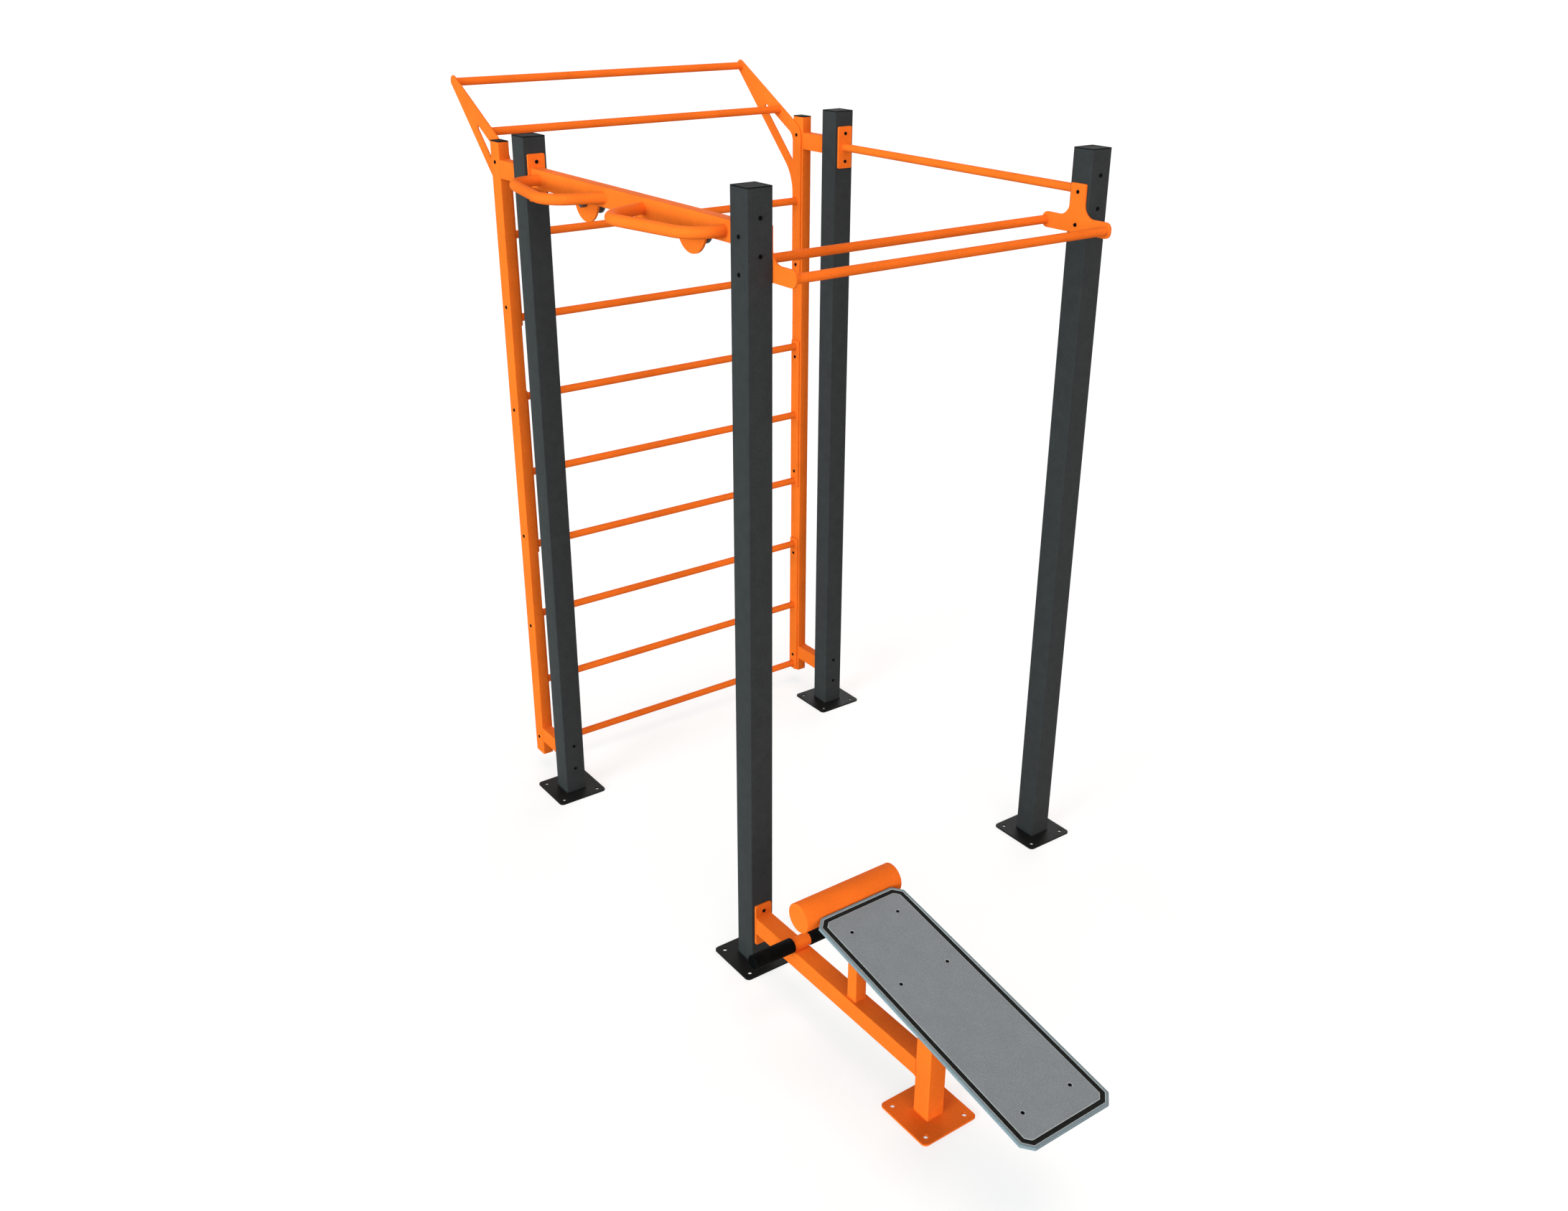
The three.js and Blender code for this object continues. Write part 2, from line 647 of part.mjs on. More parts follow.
// Handle beam between the front and left posts, with handles in front and hangers behind
const clearY = bay.depth - post.side - 2 * seat;
const beamGroup = new THREE.Group();
const beamSection = boxSection(beam.width, beam.height, beam.corner, beam.wall);
const beamSolid = platedBar(beamSection, beam.height, clearY, true);
place(beamGroup, mesh("handle_beam", beamSolid, orangeCoat), [0, -clearY / 2, 0], alongY);
for (const [name, side] of [["left", 1], ["right", -1]]) {
  place(beamGroup, mesh(`pull_handle_${name}`, pullHandle(side), orangeCoat), [0, 0, 0]);
  const y = side * lug.offset;
  const lugFace = beam.width / 2 + seat;
  place(beamGroup, mesh(`hanger_lug_${name}`, hangerLug(), orangeCoat), [lugFace, y, -lug.drop], facingX);
  place(beamGroup, mesh(`hanger_peg_${name}`, hangerPeg(), darkSteel), [lugFace, y, -peg.drop], alongX);
}
place(frame, beamGroup, [0, bay.depth / 2, headHeight]);

// High bar between the right and back posts
const highBar = platedBar(pipeSection(pipe.diameter, pipe.wall), pipe.diameter, clearY, true);
place(frame, mesh("high_bar", highBar, orangeCoat), [bay.width, half + seat, headHeight], alongY);

// Parallel bars between the front and right posts
const barHeight = headHeight - boltPitch;
place(frame, mesh("bar_bracket_front", teeBracket(), orangeCoat), [half + seat, 0, barHeight], facingX);
const farFace = bay.width - half - seat - bracket.thickness;
place(frame, mesh("bar_bracket_right", teeBracket(), orangeCoat), [farFace, 0, barHeight], facingX);
const parallelStart = half + 2 * seat + bracket.thickness;
for (const [name, side] of [["outer", -1], ["inner", 1]]) {
  const bar = mesh(`parallel_bar_${name}`, roundBar(bay.width - 2 * parallelStart), orangeCoat);
  place(frame, bar, [parallelStart, side * parallelHalfGap, barHeight], alongX);
}

// Wall bars: two uprights carried by plated arms, with two rung panels and the gusset panel on top
const ladder = new THREE.Group();
const panelHeights = [0, 1, 2].map((k) => rung.first + rungPitch * (1 + panelRungs.count * k));
const armLength = upright.reach - upright.width / 2 - half - 2 * seat;
const armSection = boxSection(upright.depth, upright.width, upright.corner, upright.wall);
const stripSeat = upright.depth / 2 + seat;
const rungStart = stripSeat + strip.thickness + seat;
for (const [name, x, side] of [["left", 0, 1], ["right", bay.width, -1]]) {
  for (const [level, height] of [["high", headHeight], ["low", footHeight]]) {
    const arm = platedBar(armSection, upright.width, armLength, false);
    const start = half + seat - upright.reach;
    place(ladder, mesh(`wall_arm_${name}_${level}`, arm, orangeCoat), [x, start, height], alongY);
  }
  place(ladder, mesh(`wall_upright_${name}`, uprightTube(panelHeights), orangeCoat), [x, 0, 0]);
  const cap = tubeLid(upright.depth, upright.width, upright.corner, upright.wall);
  place(ladder, mesh(`wall_upright_cap_${name}`, cap, blackPlastic), [x, 0, uprightTop]);
  const plateX = side > 0 ? x + stripSeat : x - stripSeat - strip.thickness;
  for (const [level, height] of [["low", panelHeights[0]], ["middle", panelHeights[1]]]) {
    const plate = mesh(`rung_strip_${name}_${level}`, rungStrip(), orangeCoat);
    place(ladder, plate, [plateX, 0, height], facingX);
  }
  const panel = mesh(`gusset_panel_${name}`, gussetPlate(), orangeCoat);
  place(ladder, panel, [plateX, 0, panelHeights[2]], facingX);
}
const rungLength = bay.width - 2 * rungStart;
for (let k = 0; k < rung.count; k++) {
  const height = rung.first + rungPitch * k;
  place(ladder, mesh(`rung_${k + 1}`, roundBar(rungLength), orangeCoat), [rungStart, 0, height], alongX);
}
for (const [name, reach] of [["inner", overheadBar.first], ["outer", overheadBar.second]]) {
  const height = panelHeights[2] + gussetTop(reach) - overheadBar.drop;
  const bar = mesh(`overhead_bar_${name}`, roundBar(rungLength), orangeCoat);
  place(ladder, bar, [rungStart, reach, height], alongX);
}
place(frame, ladder, [0, bay.depth + upright.reach, 0]);

// Bench: a plated beam, a leg and a strut that hold the sloping carrier, and the foot rolls on the beam
const bench = new THREE.Group();
const benchSection = boxSection(benchBeam.side, benchBeam.side, benchBeam.corner, benchBeam.wall);
const benchLength = leg.place - leg.side / 2 - half - 2 * seat;
const benchTop = footHeight + benchBeam.side / 2;
const benchBar = platedBar(benchSection, benchBeam.side, benchLength, false);
place(bench, mesh("bench_beam", benchBar, orangeCoat), [0, -half - seat, footHeight], againstY);
place(bench, mesh("bench_leg", benchLeg(), orangeCoat), [0, -leg.place, 0]);
place(bench, mesh("bench_strut", slopedPost(strut, benchTop + seat), orangeCoat), [0, -strut.place, 0]);

const slopedPart = new THREE.Group();
place(slopedPart, mesh("bench_board", benchBoard(), greyPlastic), [0, 0, 0]);
place(slopedPart, mesh("board_carrier", boardCarrier(), orangeCoat), [0, 0, 0]);
place(slopedPart, mesh("knee_roll", kneeTube(), orangeCoat), [0, rollPlace, -kneeRoll.drop]);
place(bench, slopedPart, [0, -board.hinge, board.height], [slope, 0, 0]);

const footRolls = new THREE.Group();
place(footRolls, mesh("foot_axle", footAxle(), orangeCoat), [0, 0, 0], alongX);
for (const [name, turn] of [["left", -1], ["right", 1]]) {
  const outward = [0, (turn * Math.PI) / 2, 0];
  const roll = mesh(`foot_roll_${name}`, footSleeve(), blackRubber);
  place(footRolls, roll, [turn * sleeveStart, 0, 0], outward);
  const cap = mesh(`foot_roll_cap_${name}`, footCap(), blackPlastic);
  place(footRolls, cap, [turn * stubEnd, 0, 0], outward);
}
place(bench, footRolls, [0, -axle.place, benchTop + seat + axle.collar / 2]);
place(frame, bench, [0, 0, 0]);

// The origin lies on the ground under the middle of the whole station.
const station = new THREE.Group();
const bounds = new THREE.Box3().setFromObject(frame, true);
const centre = bounds.getCenter(new THREE.Vector3());
frame.position.set(-centre.x, -centre.y, -bounds.min.z);
station.add(frame);

export default station;
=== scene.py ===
# Outdoor fitness station: finished pieces, finishes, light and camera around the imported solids.
# Sizes are in millimetres from the front post's axis on the ground: X runs to the right post, Y to
# the left post, Z up. The function piece turns them into metres in the solids' own frame.
import math
import re

import bpy
import numpy as np
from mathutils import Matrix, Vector
from mathutils.geometry import tessellate_polygon


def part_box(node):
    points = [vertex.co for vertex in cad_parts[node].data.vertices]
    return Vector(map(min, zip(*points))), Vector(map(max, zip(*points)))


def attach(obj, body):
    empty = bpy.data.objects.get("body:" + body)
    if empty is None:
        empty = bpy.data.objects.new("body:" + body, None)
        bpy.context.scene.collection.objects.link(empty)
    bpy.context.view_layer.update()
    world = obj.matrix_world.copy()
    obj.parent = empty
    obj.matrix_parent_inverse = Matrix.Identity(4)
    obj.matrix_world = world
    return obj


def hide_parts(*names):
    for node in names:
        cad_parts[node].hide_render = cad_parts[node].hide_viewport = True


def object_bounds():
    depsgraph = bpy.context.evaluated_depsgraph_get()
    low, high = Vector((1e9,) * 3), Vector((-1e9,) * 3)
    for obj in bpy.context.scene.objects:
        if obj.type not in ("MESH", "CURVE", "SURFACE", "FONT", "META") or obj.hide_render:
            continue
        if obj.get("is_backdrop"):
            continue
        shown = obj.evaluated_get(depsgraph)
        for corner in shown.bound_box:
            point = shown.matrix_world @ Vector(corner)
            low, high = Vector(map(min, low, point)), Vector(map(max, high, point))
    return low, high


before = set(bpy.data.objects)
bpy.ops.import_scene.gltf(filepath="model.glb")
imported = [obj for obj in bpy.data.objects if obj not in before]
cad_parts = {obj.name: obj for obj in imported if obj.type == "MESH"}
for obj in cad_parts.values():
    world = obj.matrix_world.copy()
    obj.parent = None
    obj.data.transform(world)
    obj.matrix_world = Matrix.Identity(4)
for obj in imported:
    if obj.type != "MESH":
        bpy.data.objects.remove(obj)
cadLow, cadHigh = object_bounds()
print("solids loaded:", len(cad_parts), "nodes")

postLow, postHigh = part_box("post_front")
frontAxis = (np.array(postLow) + np.array(postHigh)) / 2 * [1, 1, 0]  # metres
metre = 1000


def placed(name, data):
    made = bpy.data.objects.new(name, data)
    bpy.context.scene.collection.objects.link(made)
    return made


# The camera that took the photograph
camera = bpy.data.cameras.new("camera")
camera.sensor_width = 36
camera.lens = 33.18434
camera.shift_x = 0.0080026
camera.clip_end = 200
cameraObject = placed("camera", camera)
cameraObject.location = (-2.735863, -3.368756, 3.013110)
cameraObject.rotation_euler = [math.radians(a) for a in (65.1179, -0.0116, -35.4475)]
bpy.context.scene.camera = cameraObject


def pick(settings, *keys):
    return [settings[key] for key in keys]


# Flat outlines: rows of (x, y), counterclockwise
def unit(vectors):
    return vectors / np.linalg.norm(vectors, axis=-1, keepdims=True)


def turned(vectors, angle):
    # (x, y) turned by an angle: (x cos - y sin, x sin + y cos)
    x, y = vectors[..., 0], vectors[..., 1]
    return np.stack([x * np.cos(angle) - y * np.sin(angle), x * np.sin(angle) + y * np.cos(angle)], -1)


def circleLoop(radius, count, centre=(0, 0)):
    # centre + radius (cos a, sin a), for equal steps of a
    angle = np.arange(count) * 2 * math.pi / count
    return np.array(centre) + radius * np.stack([np.cos(angle), np.sin(angle)], 1)


quarterSteps = {"start": 3, "perMillimetre": 0.8, "least": 4, "most": 20}


def roundedOutline(corners, longest=5.0, perCorner=None):
    # Each corner (x, y, radius) becomes an arc that touches both of its sides. Its centre lies
    # inward by radius / sin(half angle), and the arc sweeps what the outline turns there.
    place = np.array([c[:2] for c in corners], float)
    radius = np.array([c[2] for c in corners], float)
    back = unit(np.roll(place, 1, 0) - place)
    onward = unit(np.roll(place, -1, 0) - place)
    half = np.arccos(np.clip((back * onward).sum(1), -1, 1)) / 2
    centre = place + unit(back + onward) * (radius / np.sin(half))[:, None]
    spoke = place + back * (radius / np.tan(half))[:, None] - centre
    bend = np.sign(back[:, 1] * onward[:, 0] - back[:, 0] * onward[:, 1])
    sweep = (math.pi - 2 * half) * bend
    arcs = []
    for k in range(len(place)):
        wanted = quarterSteps["perMillimetre"] * radius[k] + quarterSteps["start"]
        perQuarter = min(max(wanted, quarterSteps["least"]), quarterSteps["most"])
        steps = perCorner or max(abs(sweep[k]) / (math.pi / 2) * perQuarter,
                                 abs(sweep[k]) * radius[k] / longest)
        angle = np.linspace(0, sweep[k], math.ceil(steps) + 1) if radius[k] else np.zeros(1)
        arcs.append(centre[k] + turned(spoke[k][None], angle))
    return np.concatenate(arcs)


cornerSigns = ((-1, -1), (1, -1), (1, 1), (-1, 1))


def rectangleLoop(width, height, radius):
    x, y = width / 2, height / 2
    return roundedOutline([(sx * x, sy * y, radius) for sx, sy in cornerSigns])


def offsetLoop(loop, distance):
    # Each point moves by 2 d (n1 + n2) / |n1 + n2|^2, with the outward normals of its two sides
    side = np.roll(loop, -1, 0) - loop
    normal = unit(np.stack([side[:, 1], -side[:, 0]], 1))
    both = normal + np.roll(normal, 1, 0)
    return loop + 2 * distance * both / (both ** 2).sum(1, keepdims=True)


def resampled(path, spacing, closed):
    # Points at equal distances along a path, by its running length
    whole = np.concatenate([path, path[:1]]) if closed else path
    length = np.concatenate([[0], np.cumsum(np.linalg.norm(np.diff(whole, axis=0), axis=1))])
    count = max(int(length[-1] / spacing), 8)
    at = np.linspace(0, length[-1], count, endpoint=not closed)
    return np.stack([np.interp(at, length, whole[:, k]) for k in range(whole.shape[1])], 1)


class Shape:
    # Points with faces of any number of corners, which of them are flat, and each face's material
    def __init__(self, points, faces, flat, finish=0):
        self.points = np.asarray(points, float)
        self.faces = faces
        self.flat = np.asarray(flat, bool)
        self.finish = np.full(len(faces), finish) if np.isscalar(finish) else np.asarray(finish)

    def __add__(self, other):
        shifted = [[i + len(self.points) for i in face] for face in other.faces]
        return Shape(np.concatenate([self.points, other.points]), self.faces + shifted,
                     np.concatenate([self.flat, other.flat]), np.concatenate([self.finish, other.finish]))

    def laid(self, origin, u=(1, 0, 0), v=(0, 1, 0)):
        # origin + x u + y v + z (u x v)
        axes = np.array([u, v, np.cross(u, v)], float)
        return Shape(np.array(origin) + self.points @ axes, self.faces, self.flat, self.finish)

    def inFinish(self, finish):
        return Shape(self.points, self.faces, self.flat, finish)


def joined(shapes):
    shapes = list(shapes)
    return sum(shapes[1:], shapes[0])


straight = 8.0  # a side longer than this is a flat, and not a step of an arc


def skin(rings, acrossClosed=False):
    # A grid of rings (row, point, xyz) as quads that face outwards when each ring runs
    # counterclockwise about the direction in which the rows advance
    rows, count = rings.shape[:2]
    i = np.arange(rows if acrossClosed else rows - 1)[:, None]
    j = np.arange(count)[None]
    up, on = (i + 1) % rows, (j + 1) % count
    quads = np.stack(np.broadcast_arrays(i * count + j, i * count + on,
                                         up * count + on, up * count + j), -1)
    side = np.linalg.norm(np.roll(rings, -1, 1) - rings, axis=2)[i, j]
    return Shape(rings.reshape(-1, 3), quads.reshape(-1, 4).tolist(), (side > straight).ravel())


def atHeight(loop, height):
    return np.column_stack([loop, np.full(len(loop), float(height))])


leastArea = 1e-9  # square millimetres


def lid(loops, height, upward=True):
    # A flat face inside the first loop and outside the others
    flat = [atHeight(loop, height) for loop in loops]
    points = np.concatenate(flat)
    corners = np.array(tessellate_polygon([[Vector(p) for p in loop] for loop in flat]))
    a, b, c = (points[corners[:, k]] for k in range(3))
    area = np.cross(b - a, c - a)[:, 2]
    corners, area = (rows[np.abs(area) > leastArea] for rows in (corners, area))
    wrong = (area > 0) != upward
    corners[wrong] = corners[wrong][:, ::-1]
    return Shape(points, corners.tolist(), np.ones(len(corners), bool))


def closed(rings):
    # Rings that advance along Z, each end closed by a flat face
    first, last = rings[0], rings[-1]
    return skin(rings) + lid([first[:, :2]], first[0, 2], False) + lid([last[:, :2]], last[0, 2])


def edgeProfile(low, high, edge, steps=3):
    # (inset, height) up a plate's side, with quarter rounds of the edge radius at both rims
    angle = np.linspace(0, math.pi / 2, steps + 1)
    foot = np.stack([edge * (1 - np.sin(angle)), low + edge * (1 - np.cos(angle))], 1)
    head = np.stack([foot[::-1, 0], high + low - foot[::-1, 1]], 1)
    return np.concatenate([foot, head])


def ringsOf(loop, profile):
    return np.stack([atHeight(offsetLoop(loop, -inset), height) for inset, height in profile])


def plate(outline, low, high, edge, holes=()):
    # The outline's profile carried round it and round each hole, closed by two flat faces
    profile = edgeProfile(low, high, edge)
    loops = [outline] + [hole[::-1] for hole in holes]
    rims = [offsetLoop(loop, -edge) for loop in loops]
    sides = joined(skin(ringsOf(loop, profile)) for loop in loops)
    return sides + lid(rims, high) + lid(rims, low, False)


tubeCorner = 3
cornerSteps = 6


def tubeLoop(width, height):
    return rectangleLoop(width, height, tubeCorner)


def rectangleRings(width, height, profile):
    # A tube's outline moved inward by each inset, with its corners rounded anew at every step
    rings = []
    for inset, level in profile:
        x, y, corner = width / 2 - inset, height / 2 - inset, max(tubeCorner - inset, tubeCorner / 4)
        places = [(sx * x, sy * y, corner) for sx, sy in cornerSigns]
        rings.append(atHeight(roundedOutline(places, perCorner=cornerSteps), level))
    return np.stack(rings)


def tube(width, height, wall, low, high):
    # Outer side up, rim, inner side down, rim
    profile = [(0, low), (0, high), (wall, high), (wall, low)]
    return skin(rectangleRings(width, height, profile), acrossClosed=True)


def bar(outline, low, high):
    # A closed bar, whose ends are welded on or hidden
    return closed(ringsOf(outline, [(0, low), (0, high)]))


def lathe(profile, count):
    # Rows of (radius, height) turned about Z
    ring = circleLoop(1, count)
    return closed(np.stack([atHeight(ring * r, z) for r, z in profile]))


rimSteps = 4


def roundedRim(radius, height, edge):
    # Quarter round from the side (radius, height - edge) to the end face (radius - edge, height)
    angle = np.linspace(0, math.pi / 2, rimSteps + 1)
    return list(zip(radius - edge * (1 - np.cos(angle)), height - edge + edge * np.sin(angle)))


def sweepRound(path, up, radius, count):
    # A round section carried along a flat path: p + r (cos a (up x t) + sin a up)
    step = np.gradient(path, axis=0)
    side = unit(np.cross(up, step))
    angle = np.arange(count) * 2 * math.pi / count
    return path[:, None] + radius * (np.cos(angle)[None, :, None] * side[:, None]
                                     + np.sin(angle)[None, :, None] * np.array(up, float))


weld = {"pitch": 3.4, "spacing": 0.85, "sides": 10, "least": 0.9, "swell": 0.16, "drift": 0.05,
        "driftLength": 9.1, "endShare": 0.05}


def cover(ring):
    # One flat face over a ring that runs counterclockwise about the way the face looks
    return Shape(ring, [list(range(len(ring)))], [True])


def bead(loop, height, radius, closed=True, seed=0.0):
    # A weld: a round section carried round an outline, whose radius changes with the length s along
    # the seam: r (least + swell |cos(pi s / pitch)| + drift sin(s / drift length))
    spacing, sides = weld["spacing"], weld["sides"]
    loop = resampled(loop, spacing, closed)
    step = (np.roll(loop, -1, 0) - np.roll(loop, 1, 0)) if closed else np.gradient(loop, axis=0)
    outward = unit(np.stack([step[:, 1], -step[:, 0]], 1))
    s = np.arange(len(loop)) * spacing + seed
    size = radius * (weld["least"] + weld["swell"] * np.abs(np.cos(math.pi * s / weld["pitch"]))
                     + weld["drift"] * np.sin(s / weld["driftLength"]))
    if not closed:
        fromEnd = np.minimum(np.arange(len(loop)), np.arange(len(loop))[::-1]) * spacing / radius
        size = size * np.sqrt(np.clip(fromEnd, weld["endShare"], 1))
    angle = np.arange(sides) * 2 * math.pi / sides
    out, rise = size[:, None] * np.cos(angle), size[:, None] * np.sin(angle)
    points = np.concatenate([loop[:, None] + outward[:, None] * out[..., None],
                             (height + rise)[..., None]], axis=2)[:, ::-1]
    shape = skin(points, acrossClosed=closed)
    return shape if closed else shape + cover(points[0][::-1]) + cover(points[-1])


def nodeName(name):
    # A piece stands for the solid of its own name, such as wallArm.left.high for wall_arm_left_high
    return re.sub("([A-Z])", r"_\1", name).lower().replace(".", "_")


sharpAngle = 40  # degrees


def piece(name, slotName, shape, *finishes, body="frame", solid=True):
    # One mesh in the solids' own frame, which takes the place of its solid if it has one
    mesh = bpy.data.meshes.new(name)
    mesh.from_pydata((shape.points / metre + frontAxis).tolist(), [], shape.faces)
    mesh.polygons.foreach_set("use_smooth", ~shape.flat)
    mesh.polygons.foreach_set("material_index", shape.finish)
    for finish in finishes:
        mesh.materials.append(finish)
    mesh.set_sharp_from_angle(angle=math.radians(sharpAngle))
    mesh.update()
    made = placed(name, mesh)
    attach(made, body)
    if solid:
        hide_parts(nodeName(name))


def orangePiece(name, shape):
    piece(name, "orange_coat", shape, orange)


# Finishes
class Value:
    # A number or colour in a material; an expression on values adds its Math nodes
    def __init__(self, finish, socket):
        self.finish, self.socket = finish, socket

    def math(self, operation, *others):
        inputs = dict(enumerate((self, *others)))
        return self.finish.node("ShaderNodeMath", {"operation": operation}, inputs)

    def __add__(self, other):
        return self.math("ADD", other)

    def __sub__(self, other):
        return self.math("SUBTRACT", other)

    def __rsub__(self, other):
        return self.finish.node("ShaderNodeMath", {"operation": "SUBTRACT"}, {0: other, 1: self})

    def __mul__(self, other):
        return self.math("MULTIPLY", other)

    __radd__ = __add__
    __rmul__ = __mul__

    def between(self, low, high):
        # 0 below low, 1 above high, and a smooth rise between them
        return self.finish.node("ShaderNodeMapRange", {"interpolation_type": "SMOOTHSTEP"},
                                {0: self, 1: low, 2: high, 3: 0, 4: 1})


class Finish:
    def __init__(self, name, **settings):
        self.material = bpy.data.materials.new(name)
        self.material.use_nodes = True
        self.tree = self.material.node_tree
        self.shader = self.tree.nodes["Principled BSDF"]
        self.place = self.node("ShaderNodeTexCoord", output="Object")
        for socket, value in settings.items():
            self.shader.inputs[socket.replace("_", " ")].default_value = value

    def node(self, kind, settings=None, inputs=None, output=0):
        made = self.tree.nodes.new(kind)
        for name, value in (settings or {}).items():
            setattr(made, name, value)
        for name, value in (inputs or {}).items():
            if isinstance(value, Value):
                self.tree.links.new(value.socket, made.inputs[name])
            else:
                made.inputs[name].default_value = value
        return Value(self, made.outputs[output])

    def noise(self, grain, detail, roughness=0.5):
        # Soft cells of about one grain, in millimetres
        return self.node("ShaderNodeTexNoise", {}, {"Vector": self.place, "Scale": metre / grain,
                                                    "Detail": detail, "Roughness": roughness})

    def cells(self, grain):
        return self.node("ShaderNodeTexVoronoi", {}, {"Vector": self.place, "Scale": metre / grain})

    def blend(self, share, first, second):
        return self.node("ShaderNodeMix", {"data_type": "RGBA"}, {0: share, 6: first, 7: second}, output=2)

    def bump(self, height, depth, strength, under):
        inputs = {"Height": height, "Distance": depth / metre, "Strength": strength}
        if under is not None:
            inputs["Normal"] = under
        return self.node("ShaderNodeBump", {}, inputs)

    def feed(self, **links):
        for socket, value in links.items():
            self.tree.links.new(value.socket, self.shader.inputs[socket.replace("_", " ")])
        return self.material


def tone(red, green, blue, share=1.0):
    # A screen colour as a linear one, made lighter or darker by a share
    def linear(c):
        c = c / 255
        return c / 12.92 if c <= 0.04045 else ((c + 0.055) / 1.055) ** 2.4
    return (*(linear(c) * share for c in (red, green, blue)), 1)


def makeFinish(name, look):
    # Noises are (grain in millimetres, detail, roughness), and cells a grain. Their mix turns the dark
    # tone into the pale one as it rises through the span. Roughness is a layer's share and what that
    # is added to. Reliefs are (layer, depth in millimetres, strength), the lowest first.
    finish = Finish(name, **look["shader"])
    layers = {key: finish.noise(*noise) for key, noise in look["noises"].items()}
    for key, grain in look.get("cells", {}).items():
        layers[key] = finish.cells(grain)
    whole = joined(layers[key] * share for key, share in look["mix"].items())
    layers["mix"] = whole.between(*look["span"])
    relief = None
    for key, depth, strength in look["reliefs"]:
        relief = finish.bump(layers[key], depth, strength, relief)
    colour = finish.blend(layers["mix"], *(tone(*values) for values in look["tones"]))
    key, share, least = look["rough"]
    return finish.feed(Base_Color=colour, Roughness=layers[key] * share + least, Normal=relief)


# Powder coat: an orange-peel skin over a faint cloud of lighter and darker film
orange = makeFinish("orangePowderCoat", {
    "shader": {"IOR": 1.14},
    "noises": {"cloud": (160, 3), "speckle": (2.6, 3, 0.6), "wave": (7, 1), "peel": (1.6, 2)},
    "mix": {"cloud": 0.35, "speckle": 0.65}, "span": (0.3, 0.7),
    "tones": ((232, 105, 30, 0.83), (232, 105, 30, 1.13)), "rough": ("speckle", 0.14, 0.75),
    "reliefs": (("wave", 0.12, 0.35), ("peel", 0.05, 0.6))})
# Fine-texture coat: pale and dark grains a few millimetres across over a sandy relief
anthracite = makeFinish("anthraciteTextureCoat", {
    "shader": {"IOR": 1.36}, "noises": {"grain": (2.4, 4, 0.65), "patch": (34, 2), "sand": (0.9, 2)},
    "mix": {"grain": 0.8, "patch": 0.2}, "span": (0.32, 0.68),
    "tones": ((29, 29.8, 30.6, 0.5), (29, 29.8, 30.6, 1.6)), "rough": ("grain", 0.25, 0.68),
    "reliefs": (("sand", 0.05, 0.7), ("grain", 0.2, 0.5))})
# Black powder coat with a little dust
blackCoat = makeFinish("blackPowderCoat", {
    "shader": {"IOR": 1.14}, "noises": {"grain": (2.2, 3, 0.6), "dust": (60, 3), "skin": (1.3, 2)},
    "mix": {"grain": 0.6, "dust": 0.4}, "span": (0.3, 0.72), "tones": ((16, 16, 16), (27, 27, 27)),
    "rough": ("grain", 0.2, 0.45), "reliefs": (("skin", 0.05, 0.7),)})
# Moulded polyethylene with a spark-eroded grain
capLook = {
    "shader": {"IOR": 1.08}, "noises": {"grain": (0.9, 2), "scuff": (14, 4, 0.7)},
    "mix": {"scuff": 1}, "span": (0.45, 0.75), "tones": ((21, 23, 23, 0.74), (34, 36, 36, 0.74)),
    "rough": ("mix", 0.12, 0.76), "reliefs": (("grain", 0.04, 0.8),)}
capPlastic = makeFinish("blackMouldedPlastic", capLook)
rollCapPlastic = makeFinish("darkMouldedPlastic", {
    **capLook, "shader": {"IOR": 1.05}, "tones": ((21, 23, 23, 0.2), (34, 36, 36, 0.2))})
# Pebbled polyethylene sheet: shallow rounded cells, a little mottled
sheetLook = {
    "shader": {"IOR": 1.18}, "noises": {"pebble": (2.6, 3, 0.55), "mottle": (48, 3)},
    "mix": {"pebble": 0.85, "mottle": 0.15}, "span": (0.28, 0.72),
    "tones": ((112, 116, 120), (134, 138, 142)), "rough": ("pebble", 0.2, 0.42),
    "reliefs": (("mottle", 0.3, 0.12), ("pebble", 0.22, 0.55))}
boardSkin = makeFinish("greyPebbledSheet", sheetLook)
# A paler copy of the sheet for the lips: a painted highlight
boardLipPaintedHighlight = makeFinish("greyPaintedHighlightSheet", {**sheetLook, "tones": ((158, 163, 165), (182, 187, 189))})
# A bluish copy of the sheet for the rim land and side: painted cool light
boardRimPaintedCoolLight = makeFinish("paintedCoolLightRimSheet", {**sheetLook, "tones": ((104, 117, 123), (126, 139, 146))})
# The sheet's black core, where the cutter has laid it open
boardCore = makeFinish("blackSheetCore", {
    "shader": {"IOR": 1.1}, "noises": {"grain": (1.4, 3), "swirl": (9, 2)},
    "mix": {"grain": 0.5, "swirl": 0.5}, "span": (0.35, 0.7), "tones": ((18, 19, 19), (34, 34, 32)),
    "rough": ("grain", 0.2, 0.4), "reliefs": (("grain", 0.08, 0.6),)})
# Closed-cell foam rubber: small pits and a dull skin
rollRubber = makeFinish("blackFoamRubber", {
    "shader": {"IOR": 1.1}, "noises": {"cloud": (18, 3), "skin": (0.8, 2)}, "cells": {"pit": 2.1},
    "mix": {"cloud": 1}, "span": (0.35, 0.7), "tones": ((4, 4, 4), (11, 10, 9)),
    "rough": ("cloud", 0.2, 0.62), "reliefs": (("skin", 0.05, 0.6), ("pit", 0.2, 0.5))})
# Blackened steel with turning marks and a bluish film
darkSteel = makeFinish("blackenedSteel", {
    "shader": {"Metallic": 0.55}, "noises": {"film": (6, 3), "turning": (0.7, 2)},
    "mix": {"film": 1}, "span": (0.35, 0.7), "tones": ((30, 42, 47), (62, 84, 92)),
    "rough": ("film", 0.25, 0.3), "reliefs": (("turning", 0.03, 0.6),)})
